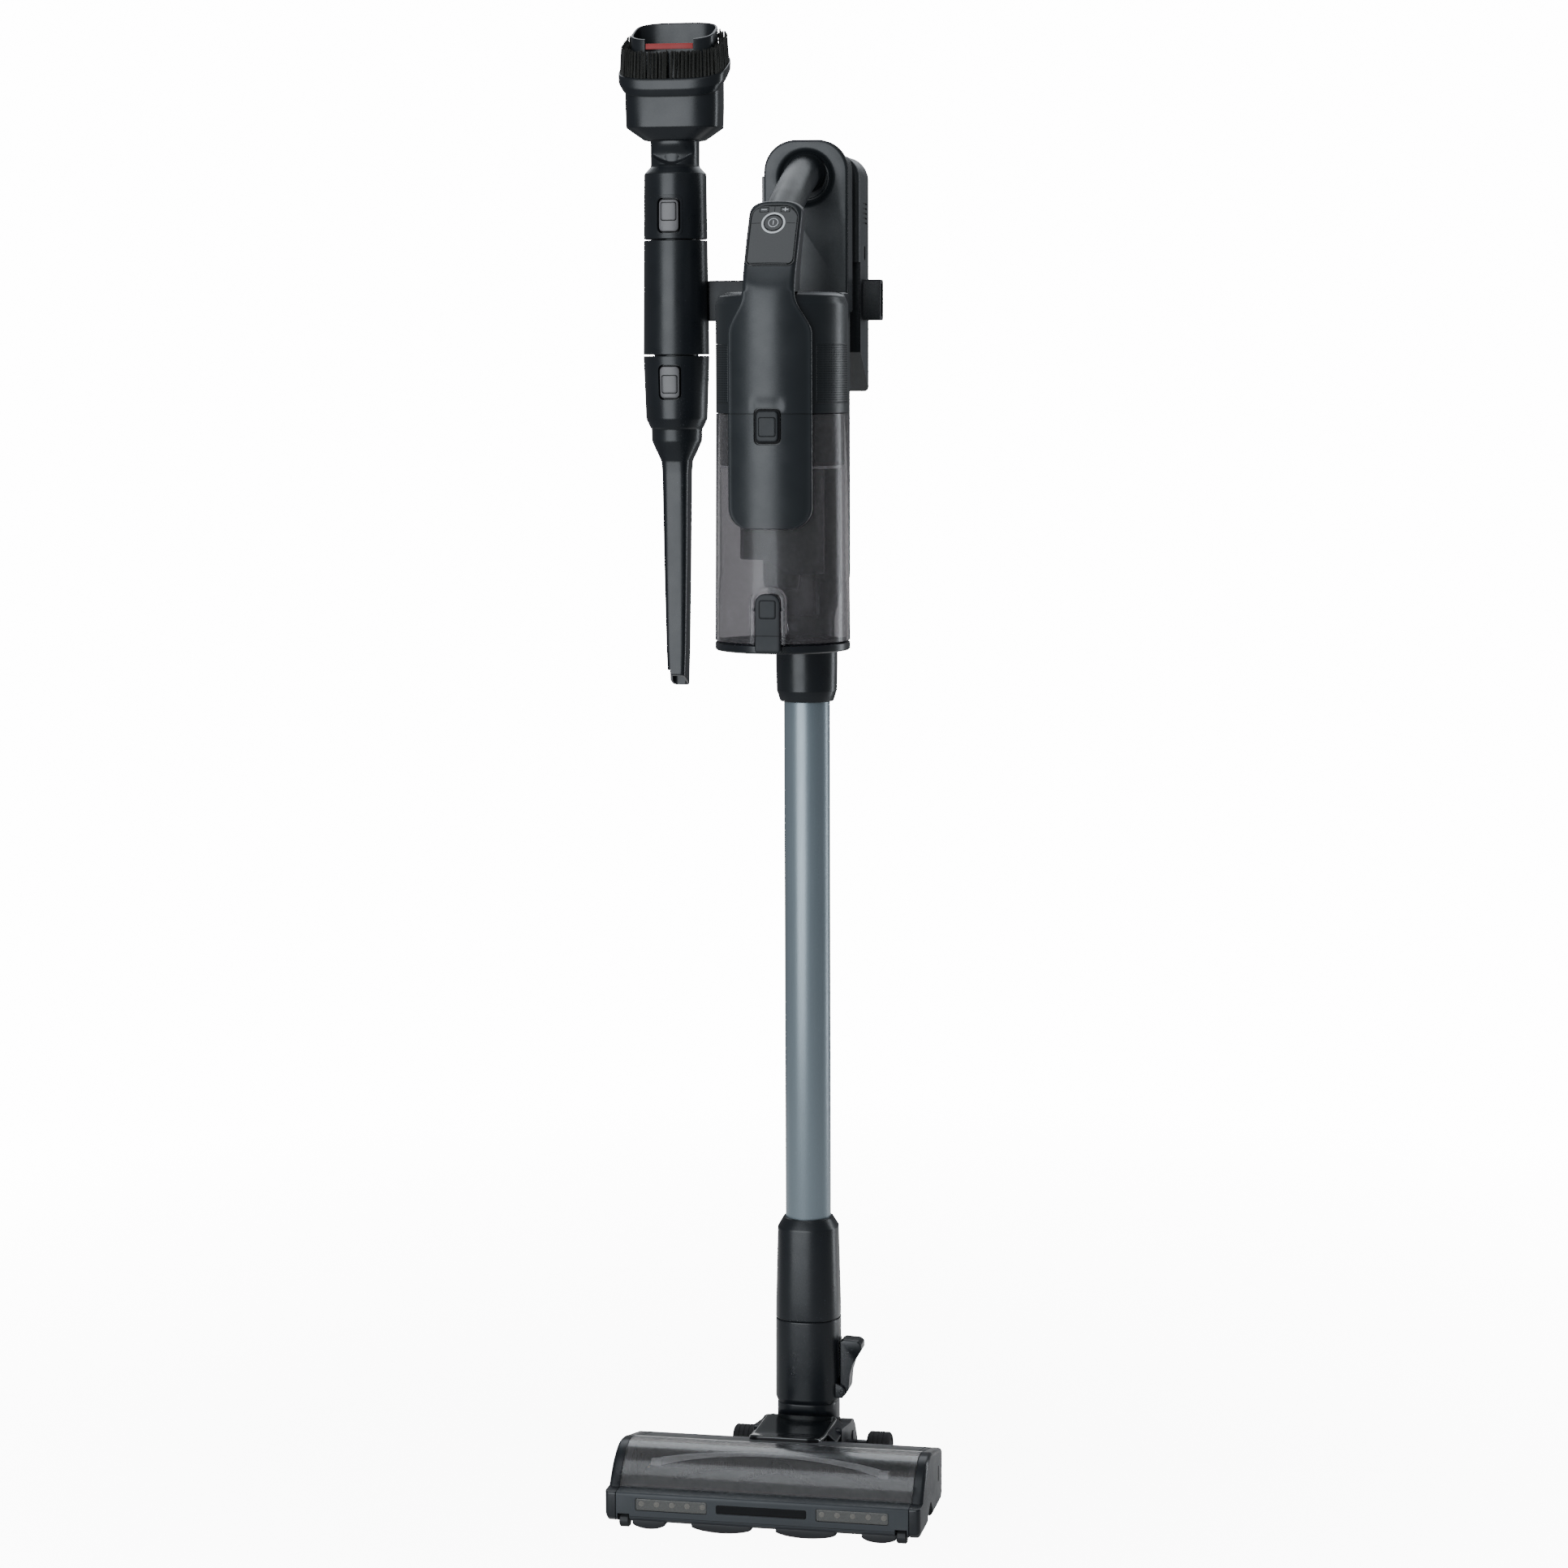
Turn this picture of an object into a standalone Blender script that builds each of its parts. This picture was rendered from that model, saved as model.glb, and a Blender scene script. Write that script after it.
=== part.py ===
"""Cordless stick vacuum hanging on its wall dock, with two tools stored beside it.

Blender 4.5. Frame: origin at the centre of the dock's wall face, +X to the right, +Y into the wall, +Z up.
The helpers take millimetres in the vacuum's own axes: x = 0 and y = 0 on the wand's axis, z = 0 under the feet.
"""

import math

import bmesh
import bpy
from mathutils import Matrix, Vector

MM = 0.001
GAP = 0.3

# Driving dimensions, millimetres
WALL_Y = 85.0  # wand axis to wall
DOCK_Z = 1017.0  # middle of the dock above the feet
DOCK_HALF_WIDTH = 39.0
DOCK_LOW, DOCK_HIGH = 918.5, 1116.0
DOCK_FRONT = 34.0
TOOL_X, TOOL_Y = -122.6, 50.0  # axis of the stored tools
HOLDER_LOW, HOLDER_HIGH = 950.2, 1046.6
SPIGOT_R = 18.9
CUP_Y = -100.0  # axis of the dust cup and the motor housing
HOUSING_R = 53.5
HOUSING_LOW, HOUSING_HIGH = 903.3, 1000.0
CUP_R_LOW = 55.0
CUP_LOW, CUP_HIGH = 719.7, 902.9
HINGE_Y, HINGE_Z = -41.5, 716.5  # cup lid hinge
LATCH_Y, LATCH_Z = -157.8, 748.0  # cup lid latch pivot
SPINE_HALF_WIDTH = 35.5
SPINE_TOP = 1127.0
COVER_CROWN = -159.5  # foremost line of the front cover
POD_SLOPE = 0.571  # how far the control pod leans back per unit of height
TUBE_R = 19.4
TUBE_LOW, TUBE_HIGH = 168.0, 697.5
COLLAR_R = 25.8
NECK_R = 27.6
NECK_SEAM_Z = 130.0
KNUCKLE_SEAM_Z = 57.0
PITCH_Z = 26.0  # axis on which the floor head tilts
PITCH_R = 15.0
PEDAL_X, PEDAL_Z = 30.5, 66.0
HEAD_HALF_WIDTH = 127.5
HEAD_FRONT, HEAD_REAR = -201.0, -87.3
ROLL_Y, ROLL_Z, ROLL_R = -152.0, 21.5, 21.0
ROLL_DRIVE_R = 9.0
MOTOR_Y, MOTOR_Z = -107.5, 27.0  # brush motor axis
PULLEY_R = 6.5
WHEEL_Y, WHEEL_Z, WHEEL_R = 17.0, 11.0, 14.0
ROLLER_Y, ROLLER_Z, ROLLER_R = -193.5, 3.2, 6.0

BLACK = ("satin_black", (0.012, 0.014, 0.017), 0.38, 0.0)
GRAPHITE = ("graphite", (0.035, 0.038, 0.043), 0.42, 0.0)
SMOKE = ("smoked_plastic", (0.10, 0.10, 0.11), 0.12, 0.0)
SLATE = ("slate_metal", (0.24, 0.30, 0.34), 0.34, 0.9)
DARK_GREY = ("dark_grey", (0.06, 0.06, 0.065), 0.5, 0.0)
RUBBER = ("soft_rubber", (0.015, 0.015, 0.016), 0.8, 0.0)
FOAM = ("filter_foam", (0.30, 0.31, 0.33), 0.9, 0.0)
BRASS = ("contact_brass", (0.62, 0.45, 0.20), 0.3, 1.0)
STEEL = ("steel", (0.55, 0.56, 0.58), 0.3, 1.0)
BRISTLE = ("bristle", (0.02, 0.02, 0.017), 0.85, 0.0)
LENS = ("light_lens", (0.20, 0.20, 0.19), 0.2, 0.0)


def clear_scene():
    for obj in list(bpy.data.objects):
        bpy.data.objects.remove(obj, do_unlink=True)


def new_collection(name):
    collection = bpy.data.collections.new(name)
    bpy.context.scene.collection.children.link(collection)
    return collection


clear_scene()
PARTS = new_collection("cordless_stick_vacuum")
CUTTERS = new_collection("cutters")
AXES = bpy.data.objects.new("vacuum_axes", None)
AXES.location = (0.0, -WALL_Y * MM, -DOCK_Z * MM)
PARTS.objects.link(AXES)


# ---------------------------------------------------------------- materials and placing


def material(spec):
    name, colour, roughness, metallic = spec
    found = bpy.data.materials.get(name)
    if found:
        return found
    made = bpy.data.materials.new(name)
    made.use_nodes = True
    shader = made.node_tree.nodes["Principled BSDF"]
    shader.inputs["Base Color"].default_value = (*colour, 1.0)
    shader.inputs["Roughness"].default_value = roughness
    shader.inputs["Metallic"].default_value = metallic
    return made


def place(name, mesh, spec, origin, rotation=(0.0, 0.0, 0.0)):
    """Makes an object of the mesh, or a helper where spec is None, with its origin at a point in millimetres."""
    obj = bpy.data.objects.new(name, mesh)
    obj.parent = AXES
    obj.location = Vector(origin) * MM
    obj.rotation_euler = rotation
    if spec is None:
        CUTTERS.objects.link(obj)
        obj.hide_render = True
        obj.display_type = "WIRE"
    else:
        PARTS.objects.link(obj)
        mesh.materials.append(material(spec))
    return obj


def shade(mesh, angle=35.0):
    mesh.shade_smooth()
    mesh.set_sharp_from_angle(angle=math.radians(angle))


def finish(bm, name):
    mesh = bpy.data.meshes.new(name)
    bmesh.ops.recalc_face_normals(bm, faces=bm.faces)
    bm.to_mesh(mesh)
    bm.free()
    shade(mesh)
    return mesh


# ---------------------------------------------------------------- shapes


def turned(name, spec, profile, origin=(0.0, 0.0, 0.0), steps=32, rotation=(0.0, 0.0, 0.0)):
    """Turns a closed profile of (radius, height) points, heights from the origin, listed down the outer side."""
    mesh = bpy.data.meshes.new(name)
    points = [(r * MM, 0.0, z * MM) for r, z in profile]
    edges = [(i, i + 1) for i in range(len(points) - 1)]
    if profile[0][0] > 0.0 or profile[-1][0] > 0.0:
        edges.append((len(points) - 1, 0))
    mesh.from_pydata(points, edges, [])
    obj = place(name, mesh, spec, origin, rotation)
    screw = obj.modifiers.new("Turn", "SCREW")
    screw.steps = steps
    screw.render_steps = steps
    screw.use_merge_vertices = True
    screw.merge_threshold = 0.00001
    screw.use_smooth_shade = True
    return obj


def lofted(name, spec, sections, origin=(0.0, 0.0, 0.0)):
    """Skins closed loops of equal length, all in millimetres in the vacuum's axes, and caps both ends."""
    bm = bmesh.new()
    rings = [[bm.verts.new((Vector(p) - Vector(origin)) * MM) for p in loop] for loop in sections]
    for lower, upper in zip(rings, rings[1:]):
        for i in range(len(lower)):
            j = (i + 1) % len(lower)
            bm.faces.new((lower[i], lower[j], upper[j], upper[i]))
    bm.faces.new(list(reversed(rings[0])))
    bm.faces.new(rings[-1])
    return place(name, finish(bm, name), spec, origin)


def lofted_tube(name, spec, outer, inner, origin=(0.0, 0.0, 0.0)):
    """Skins an outer and an inner stack of loops, and joins them at both ends, so the tube is open."""
    bm = bmesh.new()
    loops = outer + inner[::-1]
    rings = [[bm.verts.new((Vector(p) - Vector(origin)) * MM) for p in loop] for loop in loops]
    for lower, upper in zip(rings, rings[1:] + rings[:1]):
        for i in range(len(lower)):
            j = (i + 1) % len(lower)
            bm.faces.new((lower[i], lower[j], upper[j], upper[i]))
    return place(name, finish(bm, name), spec, origin)


def box(name, spec, low, high, bevel=0.0, origin=None, tilt=0.0):
    """A box between two corners, with an optional bevel and a tilt about X through its origin."""
    low, high = Vector(low), Vector(high)
    centre = (low + high) / 2
    origin = centre if origin is None else Vector(origin)
    bm = bmesh.new()
    bmesh.ops.create_cube(bm, size=1.0)
    bmesh.ops.scale(bm, vec=(high - low) * MM, verts=bm.verts)
    bmesh.ops.translate(bm, vec=(centre - origin) * MM, verts=bm.verts)
    if bevel:
        bmesh.ops.bevel(bm, geom=bm.edges[:], offset=bevel * MM, segments=2, profile=0.5, affect="EDGES")
    return place(name, finish(bm, name), spec, origin, (tilt, 0.0, 0.0))


def cylinder(name, spec, radius, low, high, steps=24):
    """A cylinder between two points that differ along one axis."""
    low, high = Vector(low), Vector(high)
    bm = bmesh.new()
    turn = (high - low).to_track_quat("Z", "Y").to_matrix().to_4x4()
    bmesh.ops.create_cone(
        bm,
        cap_ends=True,
        segments=steps,
        radius1=radius * MM,
        radius2=radius * MM,
        depth=(high - low).length * MM,
        matrix=turn,
    )
    return place(name, finish(bm, name), spec, (low + high) / 2)


PLANES = {"xz": (math.pi / 2, 0.0, 0.0), "yz": (math.pi / 2, 0.0, math.pi / 2), "xy": (0.0, 0.0, 0.0)}


def prism(name, spec, outline, plane, low, high, origin=(0.0, 0.0, 0.0), bevel=0.0):
    """Extrudes a flat outline, in the vacuum's axes, from low to high along the plane's normal."""
    curve = bpy.data.curves.new(name, "CURVE")
    curve.dimensions = "2D"
    curve.fill_mode = "BOTH"
    curve.extrude = abs(high - low) / 2 * MM
    spline = curve.splines.new("POLY")
    spline.points.add(len(outline) - 1)
    for point, (u, v) in zip(spline.points, outline):
        point.co = (u * MM, v * MM, 0.0, 1.0)
    spline.use_cyclic_u = True
    guide = place(name, curve, None, (0.0, 0.0, 0.0))
    turn = Matrix.Rotation(PLANES[plane][2], 4, "Z") @ Matrix.Rotation(PLANES[plane][0], 4, "X")
    normal = {"xz": Vector((0, 1, 0)), "yz": Vector((1, 0, 0)), "xy": Vector((0, 0, 1))}[plane]
    mesh = as_mesh(guide, name)
    bm = bmesh.new()
    bm.from_mesh(mesh)
    bmesh.ops.transform(bm, matrix=turn, verts=bm.verts)
    bmesh.ops.translate(bm, vec=(normal * (low + high) / 2 - Vector(origin)) * MM, verts=bm.verts)
    bmesh.ops.recalc_face_normals(bm, faces=bm.faces)
    bm.to_mesh(mesh)
    bm.free()
    obj = place(name, mesh, spec, origin)
    if bevel:
        add_bevel(obj, bevel)
    return obj


def as_mesh(guide, name):
    """Turns a curve object into a welded mesh in the curve's own axes, and removes the curve."""
    bpy.context.view_layer.update()
    evaluated = guide.evaluated_get(bpy.context.evaluated_depsgraph_get())
    mesh = bpy.data.meshes.new_from_object(evaluated)
    bpy.data.objects.remove(guide, do_unlink=True)
    mesh.name = name
    mesh.materials.clear()
    bm = bmesh.new()
    bm.from_mesh(mesh)
    bmesh.ops.remove_doubles(bm, verts=bm.verts, dist=0.00001)
    bm.to_mesh(mesh)
    bm.free()
    shade(mesh)
    return mesh


def add_bevel(obj, width, segments=2, angle=30.0):
    bevel = obj.modifiers.new("Bevel", "BEVEL")
    bevel.width = width * MM
    bevel.segments = segments
    bevel.limit_method = "ANGLE"
    bevel.angle_limit = math.radians(angle)


def combine(obj, other, operation):
    step = obj.modifiers.new(operation.title(), "BOOLEAN")
    step.operation = operation
    step.object = other
    step.solver = "EXACT"


def cut(obj, *cutters):
    for cutter in cutters:
        combine(obj, cutter, "DIFFERENCE")


def join(obj, *others):
    for other in others:
        combine(obj, other, "UNION")


# ---------------------------------------------------------------- outlines and sections


def rounded_rect(half_u, low_v, high_v, radius_low, radius_high, steps=5):
    """A rectangle about u = 0 with its own corner radius below and above, counter-clockwise."""
    corners = [
        (half_u - radius_low, low_v + radius_low, radius_low, -90),
        (half_u - radius_high, high_v - radius_high, radius_high, 0),
        (-half_u + radius_high, high_v - radius_high, radius_high, 90),
        (-half_u + radius_low, low_v + radius_low, radius_low, 180),
    ]
    points = []
    for u, v, radius, start in corners:
        for k in range(steps + 1):
            angle = math.radians(start + 90 * k / steps)
            points.append((u + radius * math.cos(angle), v + radius * math.sin(angle)))
    return points


def shifted(outline, du, dv):
    return [(u + du, v + dv) for u, v in outline]


def oval(z, half_x, half_y, power=2.0, centre=(0.0, 0.0), slope=0.0, count=26):
    """A superellipse at height z: power 2 is an ellipse, and more squares it off. slope tilts it along y."""
    loop = []
    for i in range(count):
        angle = 2 * math.pi * (i + 0.5) / count
        c, s = math.cos(angle), math.sin(angle)
        x = half_x * math.copysign(abs(c) ** (2 / power), c)
        y = half_y * math.copysign(abs(s) ** (2 / power), s)
        loop.append((centre[0] + x, centre[1] + y, z + slope * y))
    return loop


def shell_section(z, half, crown, sag, back, back_sag, corner, across=8):
    """A section with a bowed front and back and rounded side corners. The sags are how far the edges lie behind
    the crowns at the section's half width."""

    def row(width, y, bow, direction):
        xs = [direction * width * (2 * k / across - 1) for k in range(across + 1)]
        return [(x, y + bow * (x / half) ** 2) for x in xs]

    inner = half - corner
    front = row(inner, crown, sag, 1)
    rear = row(inner, back, back_sag, -1)
    side_front, side_back = front[-1][1] + corner, rear[0][1] - corner
    diagonal = corner * (1 - math.sqrt(0.5))
    right = [
        (half - diagonal, front[-1][1] + diagonal),
        (half, side_front),
        (half, side_back),
        (half - diagonal, rear[0][1] - diagonal),
    ]
    left = [(-x, y) for x, y in reversed(right)]
    return [(x, y, z) for x, y in front + right + rear + left]


# ---------------------------------------------------------------- dock


def dock_back_plate():
    outline = shifted(rounded_rect(35.0, -92.0, 92.0, 12.0, 12.0), 0.0, DOCK_Z)
    plate = prism("dock_back_plate", DARK_GREY, outline, "xz", WALL_Y - 4.0, WALL_Y)
    for side in (-1, 1):
        z = DOCK_Z + side * 65.0
        cut(plate, cylinder("screw_hole_cutter", None, 2.6, (0, WALL_Y - 9, z), (0, WALL_Y + 5, z), 16))


def charge_nose(shell):
    """The block that meets the battery, with a pocket for each charging contact."""
    join(shell, box("nose_block", None, (-16, 26.5, 1035), (16, DOCK_FRONT + 6, 1075), 2.0))
    for side, name in ((-1, "charge_contact_left"), (1, "charge_contact_right")):
        x = side * 8.0
        cut(shell, box("contact_cutter", None, (x - 2.8, 24, 1046.7), (x + 2.8, 30.3, 1063.3)))
        box(name, BRASS, (x - 2.5, 25.1, 1047), (x + 2.5, 30.0, 1063), 0.5)


def dock_shell():
    outline = rounded_rect(DOCK_HALF_WIDTH, DOCK_LOW, DOCK_HIGH, 4.0, 20.0, 6)
    shell = prism("dock_shell", GRAPHITE, outline, "xz", DOCK_FRONT, WALL_Y - 4.0 - GAP)
    recess = DOCK_FRONT + 5.0
    cut(shell, box("step_cutter", None, (-50, 20, 900), (50, recess, 1027)))
    wedge = [(recess - 12, 962), (recess - 12, 905), (84, 905), (84, 914)]
    cut(shell, prism("wedge_cutter", None, wedge, "yz", -50, 50))
    cavity = rounded_rect(36.0, 960.0, 1112.0, 3.0, 17.0, 6)
    cut(shell, prism("cavity_cutter", None, cavity, "xz", recess + 4, 95))
    charge_nose(shell)
    # Tongue that the vacuum's bracket hangs on
    tongue = [(50, 960), (recess - 9, 960), (recess - 9, 982), (recess - 12, 982), (26, 979), (26, 950), (50, 950)]
    join(shell, prism("tongue_block", None, tongue, "yz", -14, 14))
    # Spare arm socket on the right side
    join(shell, box("socket_block", None, (37, 50, 978.5), (54, 66, 1012.8), 1.0))
    cut(shell, box("socket_cutter", None, (45, 54, 982), (60, 62, 1009.3)))
    jack = shifted(rounded_rect(2.6, -6.0, 6.0, 2.5, 2.5), 60.0, 1035.0)
    cut(shell, prism("jack_cutter", None, jack, "yz", 33, 45))


def tool_arm():
    arm = box("tool_arm", GRAPHITE, (-112, 50, 978.5), (-DOCK_HALF_WIDTH - GAP, 66, 1012.8), 1.2)
    cut(arm, cylinder("arm_cutter", None, 28.6, (TOOL_X, TOOL_Y, 960), (TOOL_X, TOOL_Y, 1030), 48))


def tool_holder():
    low, high = HOLDER_LOW, HOLDER_HIGH
    profile = [
        (SPIGOT_R - 1.0, high + 32.4),
        (SPIGOT_R, high + 31.0),
        (SPIGOT_R, high),
        (27.1, high),
        (28.2, low),
        (SPIGOT_R, low),
        (SPIGOT_R, low - 31.0),
        (SPIGOT_R - 1.0, low - 32.4),
        (16.2, low - 32.4),
        (16.2, high + 32.4),
    ]
    turned("tool_holder", BLACK, profile, (TOOL_X, TOOL_Y, 0.0))


# ---------------------------------------------------------------- tools


def tool_button(name, tool, z):
    """A release button in a pocket at the front of a tool's collar."""
    y = TOOL_Y - 27.8
    cut(
        tool,
        prism(
            "tool_pocket_cutter",
            None,
            shifted(rounded_rect(10.2, -14.9, 14.9, 4.8, 4.8, 4), TOOL_X, z),
            "xz",
            y - 8,
            y + 5.5,
        ),
    )
    outline = shifted(rounded_rect(9.8, -14.5, 14.5, 4.5, 4.5, 4), TOOL_X, z)
    prism(name, DARK_GREY, outline, "xz", y, y + 4.0, (TOOL_X, y + 2.0, z))


def dusting_brush():
    centre = (TOOL_X, TOOL_Y)
    low = HOLDER_HIGH + 1.0
    slope = 0.42
    outer = [
        oval(low, 27.1, 27.1, centre=centre),
        oval(1103, 26.5, 26.5, centre=centre),
        oval(1108.5, 21.0, 21.0, centre=centre),
        oval(1112, 20.6, 18.5, 2.3, centre),
        oval(1129.8, 20.6, 17.0, 2.6, centre),
        oval(1130.6, 26.0, 19.0, 3.0, centre),
        oval(1141, 40.5, 26.5, 3.4, centre),
        oval(1158, 41.0, 27.0, 3.4, centre),
        oval(1180, 41.0, 27.0, 3.4, centre, slope),
    ]
    inner = [
        oval(low, 19.3, 19.3, centre=centre),
        oval(1080.5, 19.3, 19.3, centre=centre),
        oval(1081.5, 16.2, 16.2, centre=centre),
        oval(1112, 16.2, 14.0, centre=centre),
        oval(1131, 17.0, 14.0, 2.6, centre),
        oval(1140.6, 32.5, 18.5, 3.0, centre),
        oval(1141.2, 36.5, 22.0, 3.4, centre),
        oval(1160, 36.5, 22.0, 3.4, centre),
        oval(1180, 36.5, 22.0, 3.4, centre, slope),
    ]
    body = lofted_tube("dusting_brush_body", BLACK, outer, inner, (TOOL_X, TOOL_Y, low))
    tool_button("dusting_brush_button", body, 1067.0)
    dusting_sleeve(centre, slope)
    bristle_ring(centre, slope)


def dusting_sleeve(centre, slope):
    outer = [oval(1141.6, 36.1, 21.6, 3.4, centre), oval(1222, 36.1, 21.6, 3.4, centre, slope)]
    inner = [oval(1141.6, 33.9, 19.4, 3.4, centre), oval(1222, 33.9, 19.4, 3.4, centre, slope)]
    sleeve = lofted_tube("dusting_brush_sleeve", BLACK, outer, inner, (TOOL_X, TOOL_Y, 1141.6))
    notch = shifted(rounded_rect(21.0, 0.0, 30.0, 1.5, 1.5), TOOL_X, 1206.5)
    cut(sleeve, prism("notch_cutter", None, notch, "xz", TOOL_Y - 40, TOOL_Y))


def bristle_ring(centre, slope):
    """The ring that carries the bristles and slides down over the brush body."""
    outer = [
        oval(1167, 42.5, 28.5, 3.4, centre, slope),
        oval(1177, 46.2, 31.4, 3.4, centre, slope),
        oval(1190, 46.2, 31.4, 3.4, centre, slope),
        oval(1191, 45.0, 30.2, 3.4, centre, slope),
        oval(1215, 45.0, 30.2, 3.4, centre, slope),
    ]
    inner = [
        oval(1167, 41.6, 27.6, 3.4, centre, slope),
        oval(1177, 41.6, 27.6, 3.4, centre, slope),
        oval(1190, 41.6, 27.6, 3.4, centre, slope),
        oval(1191, 38.0, 23.6, 3.4, centre, slope),
        oval(1215, 38.0, 23.6, 3.4, centre, slope),
    ]
    lofted_tube("bristle_ring", BRISTLE, outer, inner, (TOOL_X, TOOL_Y, 1167))


def crevice_tool():
    centre = (TOOL_X, TOOL_Y)
    high = HOLDER_LOW - 1.0
    outer = [
        oval(671.6, 7.8, 11.4, 5.0, centre, -0.46),
        oval(698, 8.9, 12.0, 5.0, centre),
        oval(768, 10.4, 12.4, 4.5, centre),
        oval(850, 11.7, 13.2, 4.0, centre),
        oval(860, 12.7, 14.2, 3.4, centre),
        oval(869, 17.5, 18.0, 2.4, centre),
        oval(877, 21.4, 21.4, 2.1, centre),
        oval(887.6, 21.8, 21.8, centre=centre),
        oval(888.2, 22.6, 22.6, centre=centre),
        oval(896, 26.3, 26.3, centre=centre),
        oval(high, 28.2, 28.2, centre=centre),
    ]
    inner = [
        oval(671.6, 5.8, 9.4, 5.0, centre, -0.46),
        oval(698, 6.9, 10.0, 5.0, centre),
        oval(768, 8.4, 10.4, 4.5, centre),
        oval(850, 9.7, 11.2, 4.0, centre),
        oval(860, 10.7, 12.2, 3.4, centre),
        oval(869, 14.0, 15.0, 2.4, centre),
        oval(880, 16.2, 16.2, centre=centre),
        oval(914.6, 16.2, 16.2, centre=centre),
        oval(915.6, 19.3, 19.3, centre=centre),
        oval(930, 19.3, 19.3, centre=centre),
        oval(high, 19.3, 19.3, centre=centre),
    ]
    tool = lofted_tube("crevice_tool", BLACK, outer, inner, (TOOL_X, TOOL_Y, high))
    tool_button("crevice_tool_button", tool, 927.0)


# ---------------------------------------------------------------- handheld unit


def spine_section(z, half, front, back, power=5.0):
    return oval(z, half, (back - front) / 2, power, (0.0, (front + back) / 2))


def rear_spine():
    """The air duct behind the cup and the upright that carries the grip and the battery."""
    half, corner = SPINE_HALF_WIDTH, 26.0
    sections = [
        spine_section(706.6, 25.5, -25.5, 22.5, 2.4),
        spine_section(738, 25.5, -25.5, 22.5, 2.4),
        spine_section(750, 29.5, -25.0, 22.3, 3.4),
        spine_section(764, half, -24.0, 22.0),
        spine_section(1001, half, -24.0, 22.0),
        spine_section(1003, half, 0.0, 22.0, 9.0),
        spine_section(SPINE_TOP - corner, half, 0.0, 22.0, 9.0),
    ]
    for k in range(1, 7):
        angle = math.radians(15 * k - (3 if k == 6 else 0))
        width = half - corner + corner * math.cos(angle)
        height = SPINE_TOP - corner + corner * math.sin(angle)
        sections.append(spine_section(height, width, 0.0, 22.0, 9.0))
    spine = lofted("rear_spine", GRAPHITE, sections)
    # Bridge to the motor housing, with a hollow that follows the housing
    join(spine, box("bridge_block", None, (-30, -62, 904), (30, -20, 999), 1.0))
    cut(spine, cylinder("bridge_cutter", None, HOUSING_R + 0.4, (0, CUP_Y, 898), (0, CUP_Y, 1010), 48))
    # Bracket that hangs on the dock's tongue
    join(spine, box("bracket_block", None, (-20, 18, 960.4), (20, 35, 980), 1.2))
    cut(spine, box("bracket_cutter", None, (-15.5, 22.6, 950), (15.5, 30.6, 990)))
    # Spout into the cup and the duct from the wand
    join(spine, box("spout_block", None, (-17, -45.5, 832), (17, -22, 864), 1.0))
    cut(spine, cylinder("duct_cutter", None, 18.0, (0, 0, 700), (0, 0, 850), 32))
    cut(spine, box("spout_cutter", None, (-15, -50, 835), (15, 2, 861)))
    # Recess round the grip's root
    dish = [(0.0, 5.0), (20.0, 5.0), (24.5, -1.0), (0.0, -1.0)]
    turn = (-math.pi / 2, 0.0, 0.0)
    cut(spine, turned("dish_cutter", None, dish, (0.0, 0.0, 1096.0), 32, turn))
    # Battery bay and the slot of its release button
    cut(spine, box("battery_bay_cutter", None, (-32.3, 8.0, 985), (32.3, 30.0, 1140)))
    cut(spine, box("battery_slot_cutter", None, (-45, 9.2, 1063.7), (-31, 18.8, 1098.3)))


def battery():
    outline = rounded_rect(32.0, 985.4, 1122.0, 3.0, 23.0, 6)
    prism("battery_pack", BLACK, outline, "xz", 8.3, 24.7, (0.0, 16.5, 985.4), 1.5)
    box("battery_button", DARK_GREY, (-39.3, 9.5, 1064), (-34.0, 18.5, 1098), 1.2, (-34.0, 14.0, 1081.0))


def handle_grip():
    path = [(3.2, 1099.5), (-8, 1098.7), (-30, 1092.0), (-60, 1080.0), (-85, 1069.5), (-116.0, 1055.8)]
    curve = bpy.data.curves.new("handle_grip", "CURVE")
    curve.dimensions = "3D"
    curve.bevel_depth = 14.2 * MM
    curve.bevel_resolution = 6
    curve.use_fill_caps = True
    spline = curve.splines.new("POLY")
    spline.points.add(len(path) - 1)
    for point, (y, z) in zip(spline.points, path):
        point.co = (0.0, y * MM, z * MM, 1.0)
    guide = place("grip_guide", curve, None, (0.0, 0.0, 0.0))
    grip = place("handle_grip", as_mesh(guide, "handle_grip"), BLACK, (0.0, 0.0, 0.0))
    # The lower end follows the back of the control pod
    back = [(-104, 1085), (-104, 1073.2), (-103, 1067), (-105, 1060), (-113.8, 1042), (-124, 1018), (-150, 1018)]
    cut(grip, prism("grip_end_cutter", None, back + [(-150, 1085)], "yz", -30, 30))


def cover_section(z, half):
    bow = (half / 34.2) ** 2
    return shell_section(z, half, COVER_CROWN, 10.8 * bow, CUP_Y - 54.9, 12.0 * bow, 2.2)


def pod_section(z, half, depth, sag=1.0, corner=5.0):
    crown = COVER_CROWN + POD_SLOPE * max(0.0, z - 1004.0)
    return shell_section(z, half, crown, sag, crown + depth, -3.0, corner)


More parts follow.
